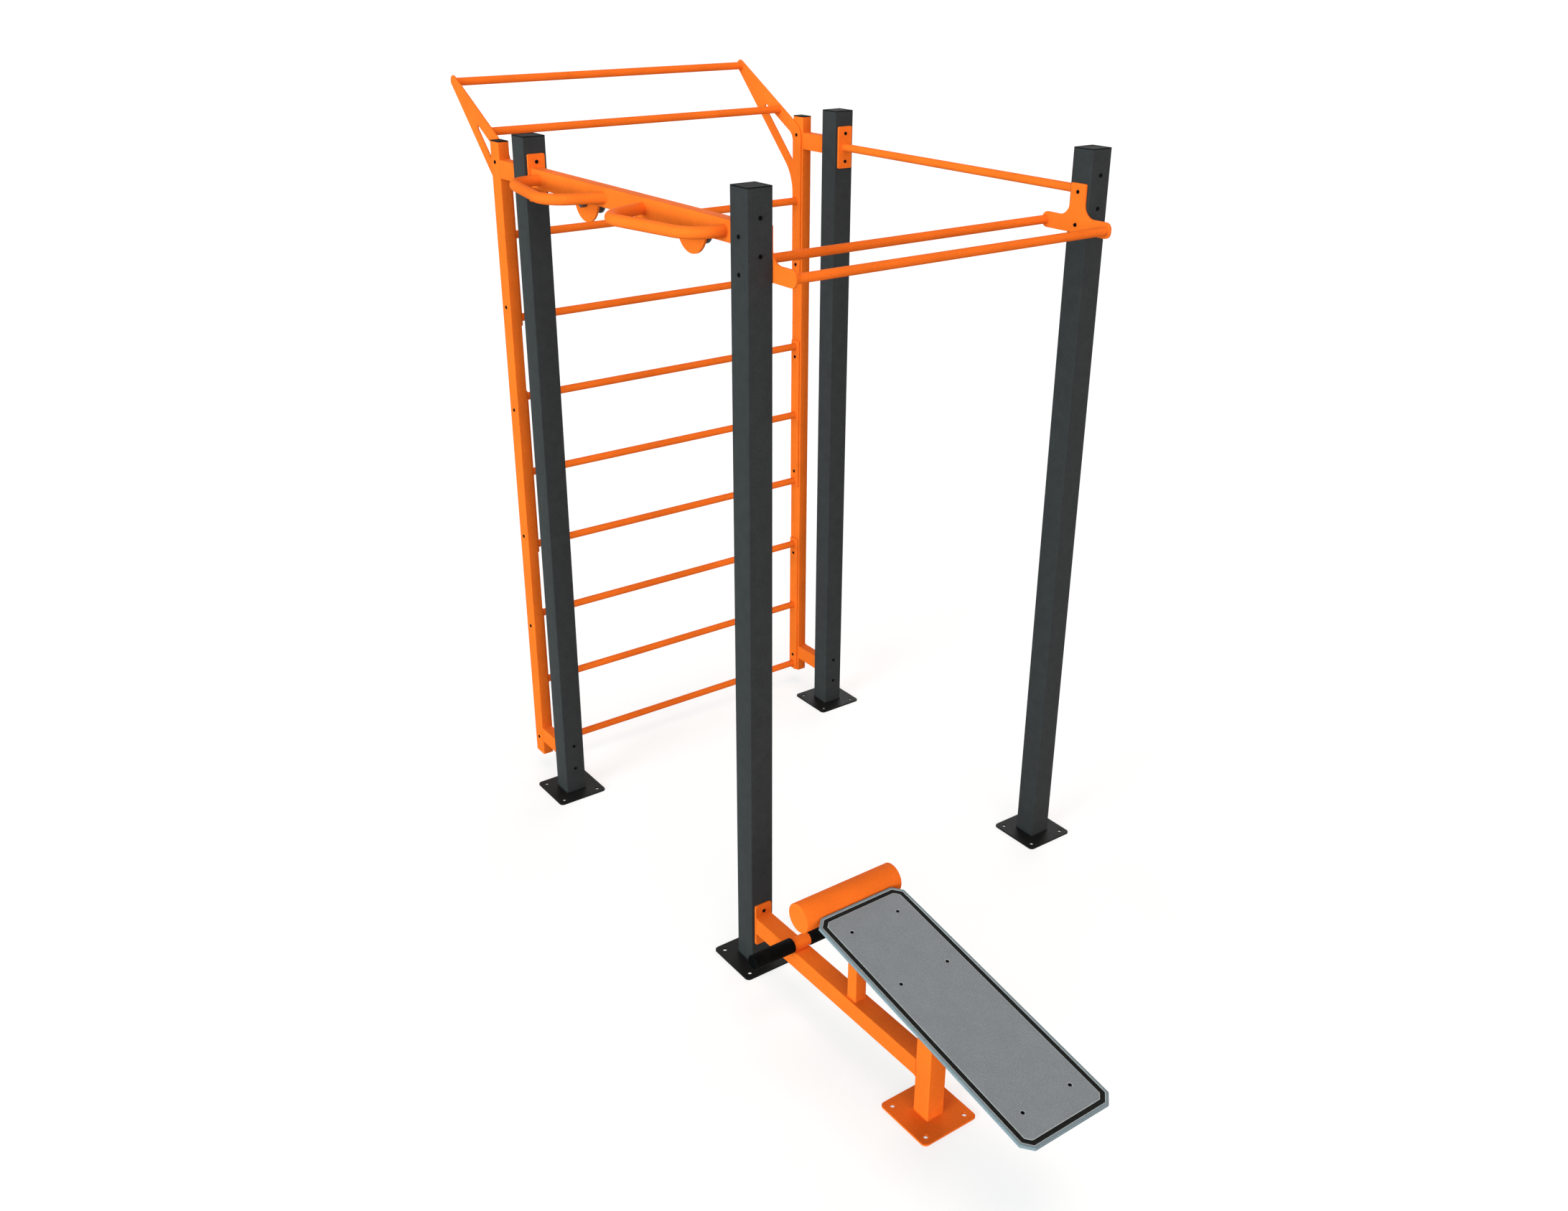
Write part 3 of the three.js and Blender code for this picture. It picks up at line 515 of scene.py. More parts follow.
# Dull black oxide
boltSteel = makeFinish("blackBoltSteel", {
    "shader": {"IOR": 1.12}, "noises": {"film": (2.2, 3)}, "mix": {"film": 1}, "span": (0.35, 0.7),
    "tones": ((2, 2, 2), (7, 7, 8)), "rough": ("film", 0.25, 0.6), "reliefs": (("film", 0.04, 0.4),)})
print("finishes made")


# Sizes that several pieces share, and the axes on which a shape made along +Z is laid
shared = {"seat": 0.3, "high": 2309, "low": 154, "bay": 1250, "boltPitch": 98, "pipe": 26.9}
seat, highAxis, lowAxis, bay = pick(shared, "seat", "high", "low", "bay")
pipeLoop = circleLoop(shared["pipe"] / 2, 40)
alongX, backX = ((0, 1, 0), (0, 0, 1)), ((0, 0, 1), (0, 1, 0))
alongY, backY = ((-1, 0, 0), (0, 0, 1)), ((1, 0, 0), (0, 0, 1))
leftAndRight = (("left", 1), ("right", -1))

boltHead = {"radius": 6.2, "height": 3.2, "edge": 0.8, "crown": 0.55, "key": 4.4, "keyShare": 1.08,
            "keyBevel": 0.2, "socket": 2.4}
headSides, holeSides, latheSides = 36, 28, 64


def hexReach(count, across):
    # How far a hexagon reaches at each of equal angles: half its width / cos(angle from a side's middle)
    sixth = math.pi / 3
    angle = np.arange(count) * 2 * math.pi / count
    return across / 2 / np.cos((angle + sixth / 2) % sixth - sixth / 2)


def socketHead(profile, top, size):
    # Rows of (radius, height) turned about Z, then a hex socket from the top down
    ring = circleLoop(1, headSides)
    hexagon = ring * hexReach(headSides, size["key"])[:, None]
    rings = [atHeight(ring * r, z) for r, z in profile] + [atHeight(hexagon * size["keyShare"], top)]
    return closed(np.stack(rings + [atHeight(hexagon, top - size[k]) for k in ("keyBevel", "socket")]))


def buttonHead():
    # A domed head: radius R (c + (1 - c) cos a), height e + (h - e) sin a
    radius, top, edge, crown = pick(boltHead, "radius", "height", "edge", "crown")
    rise = np.linspace(0, math.pi / 2, 6)[:-1]
    reach, height = radius * (crown + (1 - crown) * np.cos(rise)), edge + (top - edge) * np.sin(rise)
    return socketHead([(radius, 0), *zip(reach, height)], top, boltHead)


headShape = buttonHead()

# Posts, base plates and lids
post = {"side": 80, "wall": 3, "top": 2433, "base": 195, "baseCorner": 15, "baseHeight": 6, "baseEdge": 0.9,
        "anchor": 71.5, "anchorHole": 6.5, "bead": 2.4, "beadRise": 0.4}
cap = {"thickness": 3, "rim": 5, "sink": 0.7, "edge": 0.9, "chamfer": 0.25, "lipBack": 0.5, "lipDrop": 0.2,
       "lipRun": 0.4}


def baseShape():
    holes = [circleLoop(post["anchorHole"], holeSides, (sx * post["anchor"], sy * post["anchor"]))
             for sx in (-1, 1) for sy in (-1, 1)]
    outline = rectangleLoop(post["base"], post["base"], post["baseCorner"])
    return plate(outline, 0, post["baseHeight"], post["baseEdge"], holes)


def capShape(width, depth):
    # A cover with a chamfered foot and a rounded rim round a sunk field
    rim, chamfer, height = cap["rim"], cap["chamfer"], cap["thickness"] + seat
    foot = [(chamfer, seat), (0, seat + chamfer)]
    upperRound = edgeProfile(seat, height, cap["edge"])[-4:].tolist()
    lip = [(rim - cap["lipBack"], height), (rim, height - cap["lipDrop"])]
    field = [(rim + cap["lipRun"], height - cap["sink"])]
    return closed(rectangleRings(width, depth, foot + upperRound + lip + field))


postAxes = {"front": (0, 0), "right": (bay, 0), "back": (bay, bay), "left": (0, bay)}
postFoot = post["baseHeight"] + seat
square = post["side"], post["side"]
base, postCap, postTube = baseShape(), capShape(*square), tube(*square, post["wall"], postFoot, post["top"])
for name, (x, y) in postAxes.items():
    seam = bead(tubeLoop(*square), postFoot + post["beadRise"], post["bead"], seed=x + y).inFinish(1)
    piece(f"basePlate.{name}", "black_coat", base.laid((x, y, 0)), blackCoat)
    piece(f"post.{name}", "anthracite_coat", (postTube + seam).laid((x, y, 0)), anthracite, blackCoat)
    piece(f"postCap.{name}", "black_plastic", postCap.laid((x, y, post["top"])), capPlastic)
print("posts made")


# Beams with a bolt plate on one end or on both
endPlate = {"width": 60, "height": 147, "thickness": 8, "corner": 6, "edge": 0.8, "bead": 1.7,
            "farSeam": 0.6}
beam = {"width": 40, "height": 60}
overlap = 1  # how far a welded tube runs into its plate
plateShape = plate(rectangleLoop(endPlate["width"], endPlate["height"], endPlate["corner"]), 0,
                   endPlate["thickness"], endPlate["edge"])
clearFace = post["side"] / 2 + seat


def platedBeam(outline, length, bothEnds):
    # Along +Z from a post's face: a plate, the beam, and a second plate or a seam at its far end.
    # x of the outline is the beam's width, y its height.
    near, radius = endPlate["thickness"], endPlate["bead"]
    far = length - near
    shape = plateShape + bead(outline, near, radius)
    if bothEnds:
        shape += plateShape.laid((0, 0, far)) + bead(outline, far, radius)
        return shape + bar(outline, near - overlap, far + overlap)
    return (shape + bar(outline, near - overlap, length)
            + bead(outline, length - endPlate["farSeam"], radius, seed=length))


beamLoop = tubeLoop(beam["width"], beam["height"])
clearLength = bay - post["side"] - 2 * seat
for name, outline, x in (("handleBeam", beamLoop, 0), ("highBar", pipeLoop, bay)):
    orangePiece(name, platedBeam(outline, clearLength, True).laid((x, clearFace, highAxis), *alongY))


# Pull handles
handle = {"radius": 33.7 / 2, "bend": 88, "outer": 529, "outerReach": 122, "deepReach": 190, "deep": 168,
          "inner": 110, "past": 14, "sides": 40, "step": 6.0, "bead": 1.8, "beadSides": 72, "beadRise": 0.2}


def pullHandle(side):
    face, outerY = beam["width"] / 2, side * handle["outer"]
    radius, bend = pick(handle, "radius", "bend")
    deep = np.array([-handle["deepReach"], side * handle["deep"]])
    inner = np.array([-face, side * handle["inner"]])
    past = inner + unit(inner - deep) * handle["past"]
    # Three straight runs, with an arc of the bend's radius at both corners between them
    runs = [(handle["past"] - face, outerY, 0), (-handle["outerReach"], outerY, bend), (*deep, bend),
            (*past, 0)]
    path = resampled(roundedOutline(runs, longest=4.0), handle["step"], closed=False)
    rings = sweepRound(np.column_stack([path, np.zeros(len(path))]), (0, 0, 1), radius, handle["sides"])
    # Both ends are cut just inside the beam's side
    cut = overlap - face
    outside = np.flatnonzero((rings[:, :, 0] < cut).any(1))
    rings = rings[outside[0] - 1:outside[-1] + 2]
    rings[:, :, 0] = np.minimum(rings[:, :, 0], cut)
    shape = skin(rings) + cover(rings[0][::-1]) + cover(rings[-1])
    # The tube meets the beam's side in a circle at its outer end and in an ellipse at its inner end
    slant = math.atan2(abs(inner[1] - deep[1]), inner[0] - deep[0])
    for y, stretch in ((outerY, 1.0), (inner[1], 1 / math.cos(slant))):
        ring = circleLoop(radius, handle["beadSides"]) * [stretch, 1]
        seam = bead(ring, 0, handle["bead"], seed=y)
        shape += seam.laid((-face - handle["beadRise"], y, 0), (0, -1, 0), (0, 0, 1))
    return shape


for name, side in leftAndRight:
    orangePiece(f"pullHandle.{name}", pullHandle(side).laid((0, bay / 2, highAxis)))


# Strap hangers
lug = {"offset": 300, "radius": 75, "thickness": 8, "drop": 27, "topGap": 15, "corner": 4, "edge": 0.8,
       "hole": 8.6, "bead": 1.6, "beadRise": 0.4}
peg = {"drop": 43, "shaft": 8, "shaftSides": 40, "nut": 24, "nutSides": 72, "nutLength": 20,
       "nutBevel": 0.3, "nutAngle": 60, "thread": 3, "threadBevel": 1.2, "barrel": 15, "foot": 1,
       "flare": 2, "bevel": 0.6, "standoff": 43, "disc": 36, "discThickness": 8, "edge": 1.5,
       "dimple": 10, "dimpleSlope": 1, "dimpleDepth": 1.4}
nutSteps = (0, 0.25, 0.6, 1.0, 1.5, 2.1)  # depths of the rings that draw the nut's chamfer


def lugShape():
    wide, cut = lug["radius"], lug["corner"]
    halfBeam = beam["height"] / 2
    top, low = lug["drop"] + halfBeam - lug["topGap"], lug["drop"] - halfBeam
    angle = np.linspace(math.pi, 2 * math.pi, 49)
    arc = wide * np.stack([np.cos(angle), np.sin(angle)], 1)
    corners = np.array([[wide, top - cut], [wide - cut, top], [cut - wide, top], [-wide, top - cut]])
    hole = circleLoop(lug["hole"], 24, (0, lug["drop"] - peg["drop"]))
    shape = plate(np.concatenate([arc, corners]), 0, lug["thickness"], lug["edge"], [hole])
    seam = np.array([[wide, low], [wide, top], [-wide, top], [-wide, low]], float)
    return shape + bead(seam, lug["beadRise"], lug["bead"], closed=False)


def pegShape():
    # Nut: the smaller of a hexagon and a chamfer cone at each angle and height
    count, length = pick(peg, "nutSides", "nutLength")
    chamfer = np.array(nutSteps)
    depth = np.concatenate([chamfer, length - chamfer[::-1]])
    fromEnd = np.minimum(depth, length - depth)
    cone = peg["nut"] / 2 + fromEnd * math.tan(math.radians(peg["nutAngle"])) - peg["nutBevel"]
    radius = np.minimum(hexReach(count, peg["nut"]), cone[:, None])
    nut = closed(np.stack([atHeight(circleLoop(1, count) * row[:, None], d - seat - length)
                           for row, d in zip(radius, depth)]))
    end, back = -seat - length - peg["thread"], lug["thickness"] + seat
    shaft, bevel, foot = pick(peg, "shaft", "threadBevel", "foot")
    stud = lathe([(shaft - bevel, end), (shaft, end + bevel), (shaft, back + foot)], peg["shaftSides"])
    # Barrel, then the disc's back, its two round rims and the countersunk middle of its front
    barrel, under, flare, bevel = pick(peg, "barrel", "standoff", "flare", "bevel")
    dimple, slant, top = peg["dimple"], peg["dimpleSlope"], under + peg["discThickness"]
    rim = roundedRim(peg["disc"], top, peg["edge"])
    profile = [(barrel - foot, back), (barrel, back + foot), (barrel, under - flare),
               (barrel + bevel, under - bevel), (barrel + flare, under),
               *((r, under + top - z) for r, z in rim[::-1]), *rim, (dimple + slant, top),
               (dimple, top - bevel), (dimple - slant, top - peg["dimpleDepth"])]
    return nut + stud + lathe(profile, latheSides)


lugPiece, pegPiece = lugShape(), pegShape()
lugFace = beam["width"] / 2 + seat
for name, side in leftAndRight:
    y = bay / 2 + side * lug["offset"]
    orangePiece(f"hangerLug.{name}", lugPiece.laid((lugFace, y, highAxis - lug["drop"]), *alongX))
    piece(f"hangerPeg.{name}", "dark_steel", pegPiece.laid((lugFace, y, highAxis - peg["drop"]), *alongX),
          darkSteel)
print("handle beam made")


# Parallel bars on their tee brackets
tee = {"thickness": 8, "stem": 60, "above": 25, "arm": 280, "armHeight": 48, "stemCorner": 4,
       "armCorner": 20, "fillet": 40, "edge": 0.9, "halfGap": 124, "bead": 1.8}


def teeShape():
    # The right half of the outline from the arm's foot up, then its mirror image back down
    stem, arm, top = tee["stem"] / 2, tee["arm"] / 2, tee["armHeight"] / 2
    half = [(arm, -top, tee["armCorner"]), (arm, top, tee["armCorner"]), (stem, top, tee["fillet"]),
            (stem, shared["boltPitch"] + tee["above"], tee["stemCorner"])]
    outline = roundedOutline(half + [(-x, y, radius) for x, y, radius in half[::-1]])
    return plate(outline, 0, tee["thickness"], tee["edge"])


def weldedBar(inset):
    # A round bar across the bay with a seam at both ends
    ends = inset, bay - inset
    return bar(pipeLoop, *ends) + joined(bead(pipeLoop, z, tee["bead"], seed=z) for z in ends)


barHeight = highAxis - shared["boltPitch"]
for name, x in (("front", clearFace), ("right", bay - clearFace - tee["thickness"])):
    orangePiece(f"barBracket.{name}", teeShape().laid((x, 0, barHeight), *alongX))
parallelBar = weldedBar(clearFace + tee["thickness"] + seat)
for name, side in (("outer", -1), ("inner", 1)):
    orangePiece(f"parallelBar.{name}", parallelBar.laid((0, side * tee["halfGap"], barHeight), *alongX))
print("parallel bars made")


# Wall bars
wall = {"reach": 216, "wall": 3, "foot": 65, "top": 2394, "first": 91, "pitch": 285, "count": 8,
        "strip": 50, "stripThickness": 6, "stripLength": 622, "stripCorner": 8, "stripEdge": 0.8,
        "boltHalf": 243}
gusset = {"reach": 396, "topAngle": 29, "lowAngle": 45, "topRise": 282, "depth": 191, "band": 54,
          "elbow": 160, "shoulder": 60, "nose": 20, "chin": 6, "windowFoot": 4, "windowTip": 7.5,
          "windowTop": 42, "first": 112, "second": 365, "drop": 18}
wallY = bay + wall["reach"]
panelHeights = [wall["first"] + wall["pitch"] * (1 + 3 * k) for k in range(3)]
topSlope, lowSlope = np.tan(np.radians(pick(gusset, "topAngle", "lowAngle")))


def gussetTop(reach):
    return gusset["topRise"] + reach * topSlope


def gussetLow(reach):
    return gusset["topRise"] - gusset["depth"] + (reach - wall["strip"] / 2) * lowSlope


def gussetShape():
    # The window keeps one band's width from the upper and the lower side, up to where these bands meet
    edge, foot, reach, band = wall["strip"] / 2, -wall["stripLength"] / 2, gusset["reach"], gusset["band"]
    outline = roundedOutline([(-edge, foot, wall["stripCorner"]), (edge, foot, wall["stripCorner"]),
                              (edge, gussetLow(edge), gusset["elbow"]),
                              (reach, gussetLow(reach), gusset["chin"]),
                              (reach, gussetTop(reach), gusset["nose"]),
                              (-edge, gussetTop(-edge), gusset["shoulder"])])
    meet = (gussetTop(0) - gussetLow(0) - 2 * band) / (lowSlope - topSlope)
    window = roundedOutline([(edge, gussetLow(edge) + band, gusset["windowFoot"]),
                             (meet, gussetLow(meet) + band, gusset["windowTip"]),
                             (edge, gussetTop(edge) - band, gusset["windowTop"])])
    return plate(outline, 0, wall["stripThickness"], wall["stripEdge"], [window])


stripSeat = beam["width"] / 2 + seat
stripLoop = rectangleLoop(wall["strip"], wall["stripLength"], wall["stripCorner"])
stripShape = plate(stripLoop, 0, wall["stripThickness"], wall["stripEdge"])
armShape = platedBeam(beamLoop, wall["reach"] - beam["height"] / 2 - clearFace - seat, False)
upright = tube(beam["width"], beam["height"], wall["wall"], wall["foot"], wall["top"])
uprightCap, gussetPanel = capShape(beam["width"], beam["height"]), gussetShape()
for (name, side), x in zip(leftAndRight, (0, bay)):
    for level, height in (("high", highAxis), ("low", lowAxis)):
        orangePiece(f"wallArm.{name}.{level}", armShape.laid((x, bay + clearFace, height), *alongY))
    orangePiece(f"wallUpright.{name}", upright.laid((x, wallY, 0)))
    piece(f"wallUprightCap.{name}", "black_plastic", uprightCap.laid((x, wallY, wall["top"])), capPlastic)
    plateX = x + stripSeat if side > 0 else x - stripSeat - wall["stripThickness"]
    panels = ((f"rungStrip.{name}.low", stripShape), (f"rungStrip.{name}.middle", stripShape),
              (f"gussetPanel.{name}", gussetPanel))
    for (panelName, shape), height in zip(panels, panelHeights):
        orangePiece(panelName, shape.laid((plateX, wallY, height), *alongX))
rungShape = weldedBar(stripSeat + wall["stripThickness"] + seat)
for k in range(wall["count"]):
    orangePiece(f"rung.{k + 1}", rungShape.laid((0, wallY, wall["first"] + wall["pitch"] * k), *alongX))
for name, reach in (("inner", gusset["first"]), ("outer", gusset["second"])):
    height = panelHeights[2] + gussetTop(reach) - gusset["drop"]
    orangePiece(f"overheadBar.{name}", rungShape.laid((0, wallY + reach, height), *alongX))
print("wall bars made")


# Bench
bench = {"side": 60, "leg": 853, "strut": 521, "strutSide": 40, "slope": 10, "hinge": 593, "height": 497.4,
         "bead": 2.0}
board = {"width": 310, "thickness": 10, "above": 86.5, "below": 787.5, "chamfer": 28, "edge": 3,
         "corners": (5, 4, 7), "groove": 13, "inset": 10, "depth": 2, "lip": 1.5, "lipDrop": 0.35,
         "lipTurn": (0.4, 0.3), "wallLean": 0.1, "floorRound": 0.8, "floorRise": 0.4}
screw = {"half": 82.5, "second": 216.5, "endInset": 95, "radius": 5.4, "key": 5, "sunk": 0.45, "foot": 2.4,
         "well": 5.8, "wellDepth": 2.5, "draft": 0.25, "brim": 0.8, "brimDrop": 0.3, "taper": 0.4,
         "edgeFoot": 0.45, "edgeTop": 0.2, "edgeRun": 0.3, "keyShare": 1.1, "keyBevel": 0.15,
         "socket": 1.75}
carrier = {"width": 60, "height": 40, "endInset": 82.5, "grip": 6, "bar": (210, 40, 6), "barCorner": 3,
           "barEdge": 0.7, "barSunk": 0.5, "bead": 2.2}
roll = {"radius": 88.9 / 2, "length": 343, "drop": 19.4, "edge": 1.6, "lip": 2.2}
axle = {"place": 240.5, "collar": 20, "collarLength": 60, "collarEdge": 0.8, "play": 0.4, "stub": 14.8,
        "stubInset": 6, "bead": 3.6, "beadInset": 2, "beadOffset": 8.5, "beadRise": 0.6}
sleeve = {"radius": 23.5, "bore": 15.5, "length": 147, "recess": 20, "depth": 6, "edge": 2, "lip": 0.4}
sleeveCap = {"radius": 19.5, "thickness": 5, "edge": 1.0, "foot": 0.4}
# Rings of the cap's front face: radius or distance from its rim, and depth
capFace = ((15.5, 0), (14.9, 0.5), (7, 0.5), (6.4, 0), (5, 0), (4.4, 0.6))
benchTop = lowAxis + bench["side"] / 2
slope = math.radians(bench["slope"])
# The board's own frame: x across, y up the slope, z out of its face
onSlope = (0, -bench["hinge"], bench["height"]), (1, 0, 0), (0, math.cos(slope), math.sin(slope))
benchLoop, strutLoop = (tubeLoop(side, side) for side in (bench["side"], bench["strutSide"]))
benchLength = bench["leg"] - bench["side"] / 2 - clearFace - seat
benchBeam = platedBeam(benchLoop, benchLength, False)
orangePiece("benchBeam", benchBeam.laid((0, -clearFace, lowAxis), *backY))

carrierTop = -board["thickness"] - seat - carrier["bar"][2]
carrierFoot = carrierTop - carrier["height"]


def slopedColumn(outline, distance, foot):
    # An upright tube whose top is cut along the carrier: z = middle + y tan(slope)
    fall = (distance - bench["hinge"]) * math.tan(slope)
    middle = bench["height"] - fall + (carrierFoot - seat) / math.cos(slope)
    rings = ringsOf(outline, [(0, foot), (0, middle)])
    rings[1, :, 2] += outline[:, 1] * math.tan(slope)
    top, seam = lid([outline], 0), bead(outline, 0, bench["bead"], seed=distance)
    for shape in (top, seam):
        shape.points[:, 2] += middle + shape.points[:, 1] * math.tan(slope)
    return skin(rings) + top + lid([outline], foot, False) + seam


legShape = slopedColumn(benchLoop, bench["leg"], post["baseHeight"] - overlap) + base
legShape += bead(benchLoop, post["baseHeight"], bench["bead"], seed=3)
strutShape = slopedColumn(strutLoop, bench["strut"], benchTop + seat)
strutShape += bead(strutLoop, benchTop + seat, bench["bead"])
for name, shape in (("leg", legShape), ("strut", strutShape)):
    orangePiece(f"bench{name.title()}", shape.laid((0, -bench[name], 0)))

screwRows = (0, -screw["second"], screw["endInset"] - board["below"])
screwPlaces = [(sx * screw["half"], y) for y in screwRows for sx in (-1, 1)]


def boardRings(profile):
    # The octagon moved inward by each inset, with its corners rounded anew at every step: less at
    # the cutter's outer edge than at the rim and round the field
    half, top, low, cut = board["width"] / 2, board["above"], -board["below"], board["chamfer"]
    corners = np.array([(cut - half, low), (half - cut, low), (half, low + cut), (half, top - cut),
                        (half - cut, top), (cut - half, top), (-half, top - cut), (-half, low + cut)])
    reach = (0, board["inset"], board["inset"] + board["groove"])
    rings = []
    for inset, height in profile:
        radius = np.interp(inset, reach, board["corners"])
        moved = [(x, y, radius) for x, y in offsetLoop(corners, -inset)]
        rings.append(atHeight(roundedOutline(moved, perCorner=cornerSteps), height))
    return np.stack(rings)


def boardShape():
    # Round rim, rim land, routed line and field, each carried round the octagon. A paler lip, a
    # painted highlight, runs on both sides of the line and round each screw.
    start, end, depth = board["inset"], board["inset"] + board["groove"], board["depth"]
    lip, drop, thickness = pick(board, "lip", "lipDrop", "thickness")
    lean, fillet, rise = pick(board, "wallLean", "floorRound", "floorRise")
    run, fall = (size * share for size, share in zip((lip, drop), board["lipTurn"]))
    rim = edgeProfile(-thickness, 0, board["edge"], 5).tolist() + [(start - lip, 0)]
    outerLip = [(start - lip, 0), (start - run, -fall), (start, -drop)]
    line = [(start, -drop), (start + lean, rise - depth), (start + fillet, -depth),
            (end - fillet, -depth), (end - lean, rise - depth), (end, -drop)]
    innerLip = [(end, -drop), (end + run, -fall), (end + lip, 0)]
    rimRings, innerRings = boardRings(rim), boardRings(innerLip)
    # The rim takes the bluish copy of the sheet, painted cool light, and the lips the paler one, a painted
    # highlight
    shape = (skin(rimRings).inFinish(3) + skin(boardRings(line)).inFinish(1)
             + skin(boardRings(outerLip)).inFinish(2) + skin(innerRings).inFinish(2))
    wells = [circleLoop(screw["well"], holeSides, place)[::-1] for place in screwPlaces]
    brims = [offsetLoop(well, -screw["brim"]) for well in wells]
    shape += lid([innerRings[-1][:, :2]] + brims, 0) + lid([rimRings[0][:, :2]], -thickness, False)
    for well, brim in zip(wells, brims):
        draft, bottom, edge = screw["draft"], -screw["wellDepth"], -screw["brimDrop"]
        floor = offsetLoop(well, draft)
        # The brim round each screw takes the paler lip tone, a painted highlight
        shape += skin(np.stack([atHeight(well, edge), atHeight(brim, 0)])).inFinish(2)
        sunk = np.stack([atHeight(floor, bottom), atHeight(floor, edge - draft), atHeight(well, edge)])
        shape += skin(sunk) + lid([floor[::-1]], bottom)
    return shape


def screwHead():
    # A flush countersunk head
    radius, top = screw["radius"], -screw["sunk"]
    return socketHead([(radius - screw["taper"], -screw["foot"]), (radius, top - screw["edgeFoot"]),
                       (radius, top - screw["edgeTop"]), (radius - screw["edgeRun"], top)], top, screw)


screws = joined(screwHead().laid((x, y, 0)) for x, y in screwPlaces)
piece("benchBoard", "grey_plastic", boardShape().laid(*onSlope), boardSkin, boardCore, boardLipPaintedHighlight, boardRimPaintedCoolLight)
piece("boardScrews", "dark_steel", screws.laid(*onSlope), boltSteel, solid=False)

rollPlace = board["above"] + seat + roll["radius"]
carrierLoop = tubeLoop(carrier["width"], carrier["height"])
carrierBar = bar(carrierLoop, carrier["endInset"] - board["below"],
                 rollPlace - roll["radius"] + carrier["grip"])
carrierShape = carrierBar.laid((0, 0, carrierTop - carrier["height"] / 2), *alongY)
crossLength, crossWidth, crossHeight = carrier["bar"]
cross = plate(rectangleLoop(crossLength, crossWidth, carrier["barCorner"]),
              carrierTop - carrier["barSunk"], carrierTop + crossHeight, carrier["barEdge"])
seam = bead(np.array([[-1, 0], [1, 0]]) * carrier["width"] / 2, 0, carrier["bead"], closed=False)
for y in screwRows:
    carrierShape += cross.laid((0, y, 0)) + joined(
        seam.laid((0, y + edge, carrierTop)) for edge in (crossWidth / 2, -crossWidth / 2))
orangePiece("boardCarrier", carrierShape.laid(*onSlope))

halfRoll = roll["length"] / 2
rollRim = roundedRim(roll["radius"], halfRoll, roll["edge"]) + [(roll["radius"] - roll["lip"], halfRoll)]
rollShape = lathe([(r, -z) for r, z in rollRim[::-1]] + rollRim, 96)
orangePiece("kneeRoll", rollShape.laid((0, rollPlace, -roll["drop"]), *alongX).laid(*onSlope))

axleAt = (0, -axle["place"], benchTop + seat + axle["collar"])
collar, bevel, halfCollar = axle["collar"], axle["collarEdge"], axle["collarLength"] / 2
collarRim = [(collar, halfCollar - bevel), (collar - bevel, halfCollar)]
sleeveStart = halfCollar + axle["play"]
sleeveEnd = sleeveStart + sleeve["length"]
stubEnd = sleeveEnd - axle["stubInset"]
axleShape = lathe([(r, -z) for r, z in collarRim[::-1]] + collarRim, latheSides)
axleShape = (axleShape + bar(circleLoop(axle["stub"], 48), -stubEnd, stubEnd)).laid(axleAt, *alongX)
seam = bead(np.array([[-1, 0], [1, 0]]) * (halfCollar - axle["beadInset"]), 0, axle["bead"], closed=False)
for side in (-1, 1):
    place = (0, side * axle["beadOffset"] - axle["place"], benchTop + axle["beadRise"])
    axleShape += seam.laid(place)
orangePiece("footAxle", axleShape)


def sleeveShape():
    # Side, rounded outer rim, recess for the cap, bore, and rounded inner rim, closed on itself
    length, recess, lip = pick(sleeve, "length", "recess", "lip")
    rim, shoulder = roundedRim(sleeve["radius"], length, sleeve["edge"]), length - sleeve["depth"]
    profile = [*((r, length - z) for r, z in rim[::-1]), *rim, (recess + lip, length),
               (recess, length - lip), (recess, shoulder), (sleeve["bore"], shoulder), (sleeve["bore"], 0)]
    return skin(np.stack([atHeight(circleLoop(r, latheSides), z) for r, z in profile]), acrossClosed=True)


def sleeveCapShape():
    radius, height, foot = pick(sleeveCap, "radius", "thickness", "foot")
    return lathe([(radius - foot, 0), (radius, foot), *roundedRim(radius, height, sleeveCap["edge"]),
                  *((r, height - depth) for r, depth in capFace)], latheSides)


capStart = sleeveEnd - sleeveCap["thickness"] - axle["play"]
for name, side, axes in (("left", -1, backX), ("right", 1, alongX)):
    rollAt, capAt = ((side * x, *axleAt[1:]) for x in (sleeveStart, capStart))
    piece(f"footRoll.{name}", "black_rubber", sleeveShape().laid(rollAt, *axes), rollRubber,
          body=f"foot_roll_{name}")
    piece(f"footRollCap.{name}", "black_plastic", sleeveCapShape().laid(capAt, *axes), rollCapPlastic)
print("bench made")


# Bolts
def headPairs(centre, heights, axis, low, high):
    # At each height, two heads on an axis through the centre: where the low and the high one lie on it
    (stepX, stepY), lowAxes, highAxes = axis
    return [headShape.laid((centre[0] + stepX * far, centre[1] + stepY * far, z), *axes)
            for z in heights for far, axes in ((low, lowAxes), (high, highAxes))]


acrossX, acrossY = ((1, 0), backX, alongX), ((0, 1), backY, alongY)
halfPitch = shared["boltPitch"] / 2
highBolts, lowBolts = ((level - halfPitch, level + halfPitch) for level in (highAxis, lowAxis))
bare, onPlate, onTee = post["side"] / 2, clearFace + endPlate["thickness"], clearFace + tee["thickness"]
onWallPost = [(highBolts, acrossY, -onPlate, onPlate), (lowBolts, acrossY, -bare, onPlate)]
boltLines = {
    "front": [(highBolts, acrossY, -bare, onPlate), (lowBolts, acrossY, -onPlate, bare),
              ((barHeight, highAxis), acrossX, -bare, onTee)],
    "right": [(highBolts, acrossY, -bare, onPlate), ((barHeight, highAxis), acrossX, -onTee, bare)],
    "back": onWallPost,
    "left": onWallPost,
}
for name, lines in boltLines.items():
    heads = [head for line in lines for head in headPairs(postAxes[name], *line)]
    piece(f"postBolts.{name}", "dark_steel", joined(heads), boltSteel, solid=False)
panelBolts = [middle + sign * wall["boltHalf"] for middle in panelHeights for sign in (-1, 1)]
